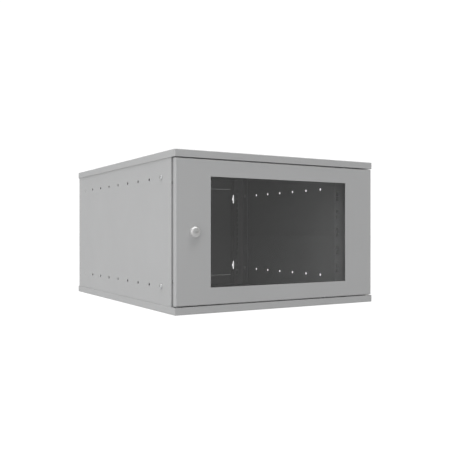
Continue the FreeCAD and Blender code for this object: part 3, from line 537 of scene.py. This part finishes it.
# %% [markdown]
# ## Turned shapes
# Screws, bumpers and the lock are all turned on a lathe, so they are made the same way here: a profile
# of radius and height is swept round the axis. `turned` builds the rings directly, which gives clean
# quads. The Screw modifier would do it too, but rings made here can also carry a thread.

# %% The lathe
def vert_at(bm, radius, height, angle):
    """One vertex at a radius and a height in millimetres, at an angle round the axis."""
    return bm.verts.new((radius * MM * math.cos(angle), radius * MM * math.sin(angle), height * MM))


def ring_of(bm, radius, height, segments):
    """One ring of vertices, or a single vertex on the axis."""
    if radius < 1e-7:
        return [bm.verts.new((0.0, 0.0, height))]
    steps = [math.tau * i / segments for i in range(segments)]
    return [bm.verts.new((radius * math.cos(a), radius * math.sin(a), height)) for a in steps]


def skin_between(bm, below, above):
    """Faces between two rings; either may be a single vertex."""
    count = max(len(below), len(above))
    for i in range(count):
        k = (i + 1) % count
        if len(below) == 1:
            corners = (below[0], above[k], above[i])
        elif len(above) == 1:
            corners = (below[i], below[k], above[0])
        else:
            corners = (below[i], below[k], above[k], above[i])
        bm.faces.new(corners)


def turned(profile_mm, segments):
    """A bmesh swept from (radius, height) pairs, from the bottom up round the outside."""
    bm = bmesh.new()
    rings = [ring_of(bm, radius * MM, height * MM, segments) for radius, height in profile_mm]
    for below, above in zip(rings, rings[1:]):
        skin_between(bm, below, above)
    bmesh.ops.recalc_face_normals(bm, faces=bm.faces)
    return bm


def arc(centre, radius, start, stop, steps):
    """Points on a quarter round of a profile, angles in degrees from the outward direction."""
    turns = [math.radians(start + (stop - start) * i / steps) for i in range(steps + 1)]
    return [(centre[0] + radius * math.cos(t), centre[1] + radius * math.sin(t)) for t in turns]


print("a test cone has", len(turned([(0, 0), (2, 0), (0, 3)], 48).faces), "faces")

# %% [markdown]
# ## Threads
# A screw thread is a ridge that climbs one pitch in each turn. On a grid of rings the radius of a point
# depends on its height less its share of a turn, so the ridge climbs by itself and needs no helix. The
# ridge has the flat crest and root of a metric thread, and fades out at both ends.

# %% A threaded shank
THREAD_DEPTH = 0.6
THREAD_FLAT = 0.125


def thread_radius(crest, pitch, height, angle):
    """Radius of a metric thread at a height and an angle, in millimetres."""
    depth = THREAD_DEPTH * pitch
    phase = (height / pitch - angle / math.tau) % 1.0
    slope = (abs(phase - 0.5) * 2.0 - THREAD_FLAT) / (1.0 - 2 * THREAD_FLAT)
    return crest - depth * min(1.0, max(0.0, slope))


def threaded_rod(crest, pitch, foot, top, segments=28, per_pitch=7, tip=0.5):
    """A closed threaded rod from foot to top, in millimetres, with a chamfer of tip at its foot."""
    bm = bmesh.new()
    rows = max(2, round((top - foot) / pitch * per_pitch))
    rings = [ring_of(bm, 0.0, foot * MM, segments)]
    for row in range(rows + 1):
        height = foot + (top - foot) * row / rows
        ring = []
        for i in range(segments):
            angle = math.tau * i / segments
            radius = thread_radius(crest, pitch, height, angle)
            radius = min(radius, crest - tip + (height - foot))
            ring.append(vert_at(bm, radius, height, angle))
        rings.append(ring)
    rings.append(ring_of(bm, 0.0, top * MM, segments))
    for below, above in zip(rings, rings[1:]):
        skin_between(bm, below, above)
    bmesh.ops.recalc_face_normals(bm, faces=bm.faces)
    return bm


print("an M6 rod of 12 mm has", len(threaded_rod(3.0, 1.0, -12.0, 0.0).faces), "faces")

# %% [markdown]
# ## From bmesh to pieces
# A made mesh becomes an object, is set in place, hides the CAD node it stands for, rides on that node's
# body and takes its finish. Copies of one mesh are joined into one piece, as the CAD groups them.

# %% Helpers that place a made mesh
def as_mesh(bm, name, smooth_below=40.0):
    """Turn a bmesh into a mesh with its sharp edges kept sharp."""
    limit = math.radians(smooth_below)
    for face in bm.faces:
        face.smooth = True
    for edge in bm.edges:
        edge.smooth = len(edge.link_faces) == 2 and edge.calc_face_angle(0.0) < limit
    mesh = bpy.data.meshes.new(name)
    bm.to_mesh(mesh)
    bm.free()
    return mesh


def joined(parts):
    """One bmesh from pairs of a mesh or bmesh and a placing matrix."""
    whole = bmesh.new()
    for part, matrix in parts:
        start = len(whole.verts)
        if isinstance(part, bmesh.types.BMesh):
            copy = bpy.data.meshes.new("copy")
            part.to_mesh(copy)
        else:
            copy = part
        whole.from_mesh(copy)
        whole.verts.ensure_lookup_table()
        for vert in whole.verts[start:]:
            vert.co = matrix @ vert.co
        if copy is not part:
            bpy.data.meshes.remove(copy)
    return whole


def stand_for(piece_name, bm, node, finish, smooth_below=40.0):
    """Make the piece, hide the CAD node it stands for, and let it ride on that node's body."""
    mesh = as_mesh(bm, piece_name, smooth_below)
    mesh.materials.append(finish)
    piece = bpy.data.objects.new(piece_name, mesh)
    scene.collection.objects.link(piece)
    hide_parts(node)
    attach(piece, nodes[node]["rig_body"])
    return piece


def pointing(direction, seat, twist=0.0):
    """A placing matrix that turns the maker's +Z to a direction and moves its origin to a seat."""
    turn = Vector(direction).to_track_quat("Z", "Y").to_matrix().to_4x4()
    return Matrix.Translation(seat) @ turn @ Matrix.Rotation(twist, 4, "Z")


print("placing helpers ready")

# %% [markdown]
# ## Pan-head screws
# A pan head is a shallow dome with a rolled edge and a tapered cross recess, pressed in by a punch. The
# dome is turned, and the cross is taken out with a boolean, since the slanted walls of the recess meet
# the dome along curves that are awkward to build by hand. Each screw's length is read from its CAD box;
# the sizes of its head and shank are listed in a table.

# %% A screw with a cross recess
PUNCH_TAPER = 0.62     # foot of the cross against its mouth
PUNCH_REACH = 0.33     # arm of the cross, of the head's width
PUNCH_WIDTH = 0.075    # half an arm's width, of the head's width
HEAD_EDGE = 0.30       # rolled edge, of the head's height
HEAD_FOOT = 0.16       # chamfer under the edge, of the head's height
HEAD_SHOULDER = 0.42   # start of the edge, of the head's height
SUNK_IN = 0.2          # how far one shape reaches into the next, in millimetres


def cross_punch(reach, width, top, floor):
    """The tapered cross that presses the recess, wide at the top and narrow at the floor."""
    bm = bmesh.new()
    outline = [(reach, width), (width, width), (width, reach)]
    corners = []
    for quarter in range(4):
        for u, v in outline:
            for _ in range(quarter):
                u, v = -v, u
            corners.append((u, v))
    upper = [bm.verts.new((u * MM, v * MM, top * MM)) for u, v in corners]
    taper = PUNCH_TAPER
    lower = [bm.verts.new((u * taper * MM, v * taper * MM, floor * MM)) for u, v in corners]
    point = bm.verts.new((0.0, 0.0, (floor - 0.5 * width) * MM))
    bm.faces.new(upper)
    for i in range(len(corners)):
        k = (i + 1) % len(corners)
        bm.faces.new((upper[k], upper[i], lower[i], lower[k]))
        bm.faces.new((lower[k], lower[i], point))
    bmesh.ops.recalc_face_normals(bm, faces=bm.faces)
    return bm


def carve(bm, cutter):
    """The first shape less the second, by Blender's exact boolean."""
    shapes = []
    for name, source in (("blank", bm), ("cutter", cutter)):
        mesh = bpy.data.meshes.new(name)
        source.to_mesh(mesh)
        source.free()
        shapes.append(bpy.data.objects.new(name, mesh))
        scene.collection.objects.link(shapes[-1])
    blank, tool = shapes
    boolean = blank.modifiers.new("carve", "BOOLEAN")
    boolean.operation = "DIFFERENCE"
    boolean.solver = "EXACT"
    boolean.object = tool
    bpy.context.view_layer.update()
    ready = blank.evaluated_get(bpy.context.evaluated_depsgraph_get())
    carved = bmesh.new()
    carved.from_mesh(ready.to_mesh())
    ready.to_mesh_clear()
    for shape in shapes:
        bpy.data.objects.remove(shape)
    return carved


def pan_head(width, height):
    """A pan head that sits on height zero, in millimetres, with its cross recess."""
    radius = width / 2
    edge = HEAD_EDGE * height
    foot = HEAD_FOOT * height
    shoulder = height * HEAD_SHOULDER
    turns = [math.radians(a) for a in (0, 18, 36, 54, 70)]
    dome = [(radius - edge * (1 - math.cos(t)), shoulder + edge * math.sin(t)) for t in turns]
    last_radius, last_height = dome[-1]
    top = []
    for i in range(1, 9):
        share = i / 8
        rise = 1 - (1 - share) ** 2
        top.append((last_radius * (1 - share), last_height + (height - last_height) * rise))
    profile = [(0.0, 0.0), (radius - foot, 0.0), (radius, foot)] + dome + top
    head = turned(profile, 56)
    punch = cross_punch(PUNCH_REACH * width, PUNCH_WIDTH * width, height * 1.4, shoulder)
    return carve(head, punch)


def screw_shape(head_width, head_height, shank, length, pitch):
    """A whole screw, head up, seat at zero."""
    head = pan_head(head_width, head_height)
    rod = threaded_rod(shank / 2, pitch, -length, SUNK_IN, tip=min(0.6, length / 4))
    whole = joined([(head, Matrix()), (rod, Matrix())])
    head.free()
    rod.free()
    return whole


print("a pan head has", len(pan_head(10.5, 3.3).faces), "faces")

# %% [markdown]
# Seven CAD nodes hold screws. What differs is the direction of the head: outwards for the rail bolts,
# inwards for the screws that are put in from inside, up or down towards the middle for the covers. Each
# next screw is twisted a little further, since no two of them stop at the same angle.

# %% Every screw
MIDDLE = (Vector(cad_box[0]) + Vector(cad_box[1])) / 2
MIDDLE.x = 0.0
FIRST_TWIST = 0.7
NEXT_TWIST = 1.3


def outwards(centre):
    """Away from the middle, to the left or the right."""
    return Vector((math.copysign(1.0, centre.x), 0.0, 0.0))


def inwards(centre):
    """Towards the middle, from the left or the right."""
    return -outwards(centre)


def to_mid_height(centre):
    """Up or down towards half the cabinet's height."""
    return Vector((0.0, 0.0, math.copysign(1.0, MIDDLE.z - centre.z)))


def backwards(_centre):
    """Towards the wall, wherever the piece is."""
    return Vector((0.0, 1.0, 0.0))


def forwards(_centre):
    """Towards the room, wherever the piece is."""
    return Vector((0.0, -1.0, 0.0))


SCREWS = {
    # node: (piece, head direction, head width, head height, shank, pitch), millimetres
    "front_rail_bolts": ("front_rail_pan_bolts", outwards, 10.5, 3.3, 6.0, 1.0),
    "rear_rail_screws": ("rear_rail_pan_screws", inwards, 10.5, 2.0, 6.0, 1.0),
    "cover_screws": ("cover_pan_screws", to_mid_height, 10.5, 2.0, 6.0, 1.0),
    "entry_plate_screws": ("entry_plate_pan_screws", to_mid_height, 8.0, 1.2, 4.0, 0.7),
    "back_panel_screws": ("back_panel_pan_screws", backwards, 8.0, 1.2, 4.0, 0.7),
    "hinge_bracket_screws": ("hinge_bracket_pan_screws", forwards, 8.0, 1.2, 4.0, 0.7),
    "cam_screw": ("cam_pan_screw", backwards, 10.5, 2.0, 4.0, 0.7),
}


def along(low, high, direction):
    """The axis of a direction, the box's length on it, and the coordinate of its end on that side."""
    axis = max(range(3), key=lambda i: abs(direction[i]))
    end = high[axis] if direction[axis] > 0 else low[axis]
    return axis, high[axis] - low[axis], end


def set_of_screws(node):
    """All the screws of one node, as one piece."""
    piece_name, head_way, head_width, head_height, shank, pitch = SCREWS[node]
    parts = []
    for number, (low, high) in enumerate(solids_of(node)):
        centre = (low + high) / 2
        way = head_way(centre)
        axis, whole, end = along(low, high, way)
        seat = centre.copy()
        seat[axis] = end - way[axis] * head_height * MM
        if not parts:
            length = whole / MM - head_height
            shape = as_mesh(screw_shape(head_width, head_height, shank, length, pitch), "screw")
        parts.append((shape, pointing(way, seat, twist=FIRST_TWIST + NEXT_TWIST * number)))
    return stand_for(piece_name, joined(parts), node, FINISH_OF_SLOT[slot_of_node[node]], smooth_below=35.0)


for node in SCREWS:
    made = set_of_screws(node)
    print(made.name, len(made.data.polygons), "faces")

# %% [markdown]
# ## Nuts and studs
# A hexagon nut is cut from bar and chamfered at 30 degrees, which leaves the six curved scallops that
# make a nut look like a nut. They come by themselves when each point of the rim is lowered by how far
# it stands outside the round of the flats. The bore carries the same thread as the studs.

# %% A chamfered nut
FACE_SHARE = 0.97      # round of the nut's face, of its width across flats
RIM_EDGE = 0.02
BORE_CHAMFER = 0.35


def hexagon_radius(flats, angle):
    """Distance from the axis to the side of a hexagon at an angle."""
    sector = (angle + math.pi / 6) % (math.pi / 3) - math.pi / 6
    return flats / 2 / math.cos(sector)


def nut_shape(flats, thick, bore, pitch, segments=72, per_pitch=6):
    """A nut on height zero with its axis up, corners on the maker's Y, in millimetres."""
    bm = bmesh.new()
    chamfer = math.tan(math.radians(30.0))
    angles = [math.tau * i / segments for i in range(segments)]

    def ring(radius_at, height_at):
        return [vert_at(bm, radius_at(a), height_at(a), a) for a in angles]

    def sunk(angle):
        return max(0.0, (hexagon_radius(flats, angle) - flats / 2) * chamfer)

    rows = max(3, round(thick / pitch * per_pitch))
    rings = [ring(lambda a: flats / 2 * FACE_SHARE, lambda a: 0.0),
             ring(lambda a: hexagon_radius(flats, a), lambda a: sunk(a) + RIM_EDGE),
             ring(lambda a: hexagon_radius(flats, a), lambda a: thick - sunk(a) - RIM_EDGE),
             ring(lambda a: flats / 2 * FACE_SHARE, lambda a: thick),
             ring(lambda a: bore / 2 + BORE_CHAMFER, lambda a: thick)]
    for row in range(rows + 1):
        height = thick - BORE_CHAMFER - (thick - 2 * BORE_CHAMFER) * row / rows
        rings.append(ring(lambda a, h=height: thread_radius(bore / 2, pitch, h, a), lambda a, h=height: h))
    rings.append(ring(lambda a: bore / 2 + BORE_CHAMFER, lambda a: 0.0))
    for below, above in zip(rings, rings[1:] + rings[:1]):
        skin_between(bm, below, above)
    bmesh.ops.recalc_face_normals(bm, faces=bm.faces)
    return bm


NUTS = {
    # node: (piece, way from the seat, width across flats, bore, pitch), millimetres
    "front_rail_nuts": ("front_rail_hex_nuts", inwards, 10.0, 6.1, 1.0),
    "glass_clip_nuts": ("glass_clip_hex_nuts", backwards, 7.0, 4.1, 0.7),
    "lock_nut": ("lock_ring_nut", backwards, 24.0, 18.1, 1.0),
    "cabinet_earth_nut": ("cabinet_earth_hex_nut", to_mid_height, 10.0, 6.1, 1.0),
    "door_earth_nut": ("door_earth_hex_nut", backwards, 10.0, 6.1, 1.0),
}


def set_of_nuts(node):
    """All the nuts of one node, as one piece, with their corners where the CAD has them."""
    piece_name, way_of, flats, bore, pitch = NUTS[node]
    parts = []
    for low, high in solids_of(node):
        centre = (low + high) / 2
        way = way_of(centre)
        axis, thick, end = along(low, high, way)
        seat = centre.copy()
        seat[axis] = end - way[axis] * thick
        if not parts:
            shape = as_mesh(nut_shape(flats, thick / MM, bore, pitch), "nut")
        placing = pointing(way, seat)
        long_side = max((i for i in range(3) if i != axis), key=lambda i: high[i] - low[i])
        corner = placing.to_3x3() @ Vector((0.0, 1.0, 0.0))
        if abs(corner[long_side]) < 0.5:
            placing = pointing(way, seat, twist=math.pi / 2)
        parts.append((shape, placing))
    return stand_for(piece_name, joined(parts), node, FINISH_OF_SLOT[slot_of_node[node]], smooth_below=25.0)


for node in NUTS:
    made = set_of_nuts(node)
    low, high = solids_of(node)[0]
    print(made.name, "spans", [round(value / MM, 1) for value in high - low], "mm each")

# %% [markdown]
# The earth studs are resistance welded: a threaded rod is fused to the sheet by its foot, so nothing
# shows but the thread and the chamfer at its free end. The rod of the screws serves here too, turned
# round so that its chamfered end points away from the sheet.

# %% Weld studs
STUDS = {
    # node: (piece, way to the free end, thread, pitch), millimetres
    "cabinet_earth_stud": ("cabinet_earth_weld_stud", to_mid_height, 6.0, 1.0),
    "door_earth_stud": ("door_earth_weld_stud", backwards, 6.0, 1.0),
}


def weld_stud(node):
    """A threaded stud in the place of a plain one."""
    piece_name, way_of, width, pitch = STUDS[node]
    low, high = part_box(node)
    centre = (low + high) / 2
    way = way_of(centre)
    axis, length, end = along(low, high, way)
    seat = centre.copy()
    seat[axis] = end
    rod = threaded_rod(width / 2, pitch, 0.0, length / MM, tip=0.7)
    whole = joined([(rod, pointing(-way, seat))])
    rod.free()
    return stand_for(piece_name, whole, node, zinc, smooth_below=35.0)


for node in STUDS:
    print(weld_stud(node).name)

# %% [markdown]
# ## The cam lock
# The lock is a die-cast body with a bright plated head. The head has a generous round at its rim, which
# catches the light in one curved streak, a flat face, and a plug that sits a little lower inside a fine
# ring gap. The keyhole is a chamfered slit with a shutter behind it. The head and its threaded barrel
# are turned; the plug is turned too, and the slit is carved, because its ends and floor are square.

# %% The lock body
HEAD_WIDTH = 22.0
HEAD_ROUND = 4.2
HEAD_CHAMFER = 0.4
GROOVE_DEPTH = 0.25
GROOVE_HEIGHTS = (1.6, 1.85, 2.3, 2.55)
BARREL_WIDTH = 18.0
BARREL_NECK = 0.6      # how far the barrel is cut in under the head
BARREL_TIP = 0.7       # chamfer at the barrel's end
BARREL_PITCH = 1.0
RINGS_PER_MM = 6
SLIVER = 0.001         # keeps the thread's first and last ring off their neighbours
PLUG_WIDTH = 12.0
PLUG_GAP = 0.1
BORE_EDGE = 0.15


def lock_body():
    """The head, its plug bore and the threaded barrel, as one turned shape with its face up."""
    low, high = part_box("lock_housing")
    front = -low.y / MM
    skin_front = -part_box("door_frame")[0].y / MM
    proud = front - skin_front
    back = front + high.y / MM
    radius, bore = HEAD_WIDTH / 2, PLUG_WIDTH / 2 + PLUG_GAP
    tail = proud - back
    rim = arc((radius - HEAD_ROUND, proud - HEAD_ROUND), HEAD_ROUND, 0, 90, 10)
    profile = [(BARREL_WIDTH / 2 - BARREL_NECK, 0.0), (radius - HEAD_CHAMFER, 0.0), (radius, HEAD_CHAMFER)]
    profile += zip((radius, radius - GROOVE_DEPTH, radius - GROOVE_DEPTH, radius), GROOVE_HEIGHTS)
    profile += rim[:-1]
    profile += [(bore + BORE_EDGE, proud), (bore, proud - BORE_EDGE), (bore, tail)]
    rows = round(-tail * RINGS_PER_MM)
    segments = 96
    bm = bmesh.new()
    rings = [ring_of(bm, r * MM, h * MM, segments) for r, h in profile]
    for row in range(rows + 1):
        height = tail + SLIVER + (-2 * SLIVER - tail) * row / rows
        ring = []
        for i in range(segments):
            angle = math.tau * i / segments
            crest = thread_radius(BARREL_WIDTH / 2, BARREL_PITCH, height, angle)
            crest = min(crest, BARREL_WIDTH / 2 - BARREL_TIP + (height - tail))
            ring.append(vert_at(bm, crest, height, angle))
        rings.append(ring)
    for below, above in zip(rings, rings[1:] + rings[:1]):
        skin_between(bm, below, above)
    bmesh.ops.recalc_face_normals(bm, faces=bm.faces)
    seat = (low + high) / 2
    seat.y = -skin_front * MM
    return joined([(bm, pointing((0, -1, 0), seat))]), proud


body_shape, lock_proud = lock_body()
lock_head = stand_for("lock_head_and_barrel", body_shape, "lock_housing", nickel, smooth_below=32.0)
print(lock_head.name, "stands", round(lock_proud, 1), "mm proud")

# %% [markdown]
# The plug turns inside the head, so it is a piece of its own on the lock's body. Its slit runs level
# while the lock is undone. A thin spring shutter closes a real keyhole a few millimetres in; it is set
# below the face so that the slit reads dark but not bottomless.

# %% The lock plug
SLIT_LENGTH = 7.4
SLIT_WIDTH = 2.4
SLIT_DEPTH = 4.2
SLIT_CHAMFER = 0.2
SLIT_OFFSET = 1.6
PLUG_EDGE = 0.12
SQUARE_WIDTH = 8.0
SHUTTER_DEPTH = 2.4
SHUTTER_SHARE = 0.45   # of the slit's width
SHUTTER_PLAY = 0.3


def slab(length, width, low, high, flare=0.0, shift=0.0):
    """A block across the axis; its top is wider than its foot by flare on every side."""
    bm = bmesh.new()
    rings = []
    for height, grow in ((low, 0.0), (high, flare)):
        u, v = length / 2 + grow, width / 2 + grow
        corners = ((-u, -v), (u, -v), (u, v), (-u, v))
        rings.append([bm.verts.new(((a + shift) * MM, b * MM, height * MM)) for a, b in corners])
    skin_between(bm, *rings)
    bm.faces.new(reversed(rings[0]))
    bm.faces.new(rings[1])
    bmesh.ops.recalc_face_normals(bm, faces=bm.faces)
    return bm


def plug_shape():
    """The plug with its face up: a turned drum with a slit, and the square that drives the cam."""
    low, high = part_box("lock_plug")
    house_low, house_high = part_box("lock_housing")
    skin_front = -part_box("door_frame")[0].y / MM
    face = -low.y / MM - skin_front
    tail = -high.y / MM - skin_front
    shoulder = -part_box("lock_cam")[0].y / MM - skin_front
    seat = Vector(((house_low.x + house_high.x) / 2, -skin_front * MM, (house_low.z + house_high.z) / 2))
    placing = pointing((0, -1, 0), seat)
    if abs((placing.to_3x3() @ Vector((1.0, 0.0, 0.0))).z) > 0.5:
        placing = pointing((0, -1, 0), seat, twist=math.pi / 2)
    shift = math.copysign(SLIT_OFFSET, (placing.to_3x3() @ Vector((1.0, 0.0, 0.0))).x)
    radius = PLUG_WIDTH / 2
    profile = [(0.0, shoulder), (radius, shoulder), (radius, face - PLUG_EDGE), (radius - PLUG_EDGE, face)]
    drum = turned(profile + [(0.0, face)], 64)
    drum = carve(drum, slab(SLIT_LENGTH, SLIT_WIDTH, face - SLIT_DEPTH, face + 1.0, shift=shift))
    drum = carve(drum, slab(SLIT_LENGTH, SLIT_WIDTH, face - SLIT_CHAMFER, face + SLIT_CHAMFER,
                            flare=2 * SLIT_CHAMFER, shift=shift))
    square = slab(SQUARE_WIDTH, SQUARE_WIDTH, tail, shoulder + SUNK_IN)
    shutter = slab(SLIT_LENGTH - SHUTTER_PLAY, SLIT_WIDTH * SHUTTER_SHARE, face - SLIT_DEPTH,
                   face - SHUTTER_DEPTH, shift=shift)
    whole = joined([(drum, placing), (square, placing), (shutter, placing)])
    for shape in (drum, square, shutter):
        shape.free()
    return whole


plug = stand_for("lock_key_plug", plug_shape(), "lock_plug", nickel, smooth_below=30.0)
print("plug has", len(plug.data.polygons), "faces")

# %% [markdown]
# ## Rubber bumpers
# The bumpers behind the lock side of the door are moulded domes on a short waist, pressed on the flange.
# They are turned, with a soft dome that meets the door almost flat.

# %% Door bumpers
FOOT_HEIGHT = 1.5
DOME_HEIGHT = 1.6
DOME_SHARE = 0.86      # of the foot's radius


def bumper_set():
    """Both bumpers, foot on the panel flange and dome towards the door."""
    parts = []
    for low, high in solids_of("door_buffers"):
        centre = (low + high) / 2
        radius, tall = (high.x - low.x) / 2 / MM, (high.y - low.y) / MM
        turns = [math.radians(a) for a in range(0, 91, 15)]
        dome = [(radius * DOME_SHARE * math.cos(t), tall - DOME_HEIGHT + DOME_HEIGHT * math.sin(t))
                for t in turns]
        foot = [(0.0, 0.0), (radius, 0.0), (radius, FOOT_HEIGHT), (radius - 0.5, FOOT_HEIGHT + 0.6)]
        waist = [(radius * 0.74, FOOT_HEIGHT + 1.1), (radius * 0.72, tall * 0.5),
                 (radius * 0.80, tall - DOME_HEIGHT - 0.8)]
        profile = foot + waist + dome[:-1] + [(0.0, tall)]
        seat = Vector((centre.x, high.y, centre.z))
        parts.append((turned(profile, 40), pointing((0, -1, 0), seat)))
    return joined(parts)


bumpers = stand_for("door_rubber_bumpers", bumper_set(), "door_buffers", rubber, smooth_below=50.0)
print("bumpers:", [round(value / MM, 1) for value in bumpers.dimensions], "mm overall")

# %% [markdown]
# ## The pane
# Safety glass is cut, its edges are ground to a small 45 degree arris, and its corners are eased so that
# they don't chip. The slab is made from a rounded outline and bevelled along both rims.

# %% The ground glass pane
PANE_CORNER = 4.0
PANE_ARRIS = 0.6


def pane_shape():
    """A slab of glass with eased corners and ground rims, where the CAD has a plain slab."""
    low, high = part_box("door_glass")
    half_width, half_height = (high.x - low.x) / 2, (high.z - low.z) / 2
    centre = (low + high) / 2
    corner = PANE_CORNER * MM
    outline = []
    for quarter, (sx, sz) in enumerate(((1, 1), (-1, 1), (-1, -1), (1, -1))):
        for step in range(7):
            turn = math.radians(90 * quarter + 15 * step)
            outline.append((sx * (half_width - corner) + corner * math.cos(turn),
                            sz * (half_height - corner) + corner * math.sin(turn)))
    bm = bmesh.new()
    arris = PANE_ARRIS * MM
    levels = ((low.y, arris), (low.y + arris, 0.0), (high.y - arris, 0.0), (high.y, arris))
    rings = []
    for y, inset in levels:
        wide, high_share = 1 - inset / half_width, 1 - inset / half_height
        rings.append([bm.verts.new((centre.x + x * wide, y, centre.z + z * high_share)) for x, z in outline])
    for below, above in zip(rings, rings[1:]):
        skin_between(bm, below, above)
    bm.faces.new(rings[0])
    bm.faces.new(rings[-1])
    bmesh.ops.recalc_face_normals(bm, faces=bm.faces)
    return bm


pane = stand_for("tinted_glass_pane", pane_shape(), "door_glass", pane_glass, smooth_below=20.0)
print("pane:", [round(value / MM, 1) for value in pane.dimensions], "mm")
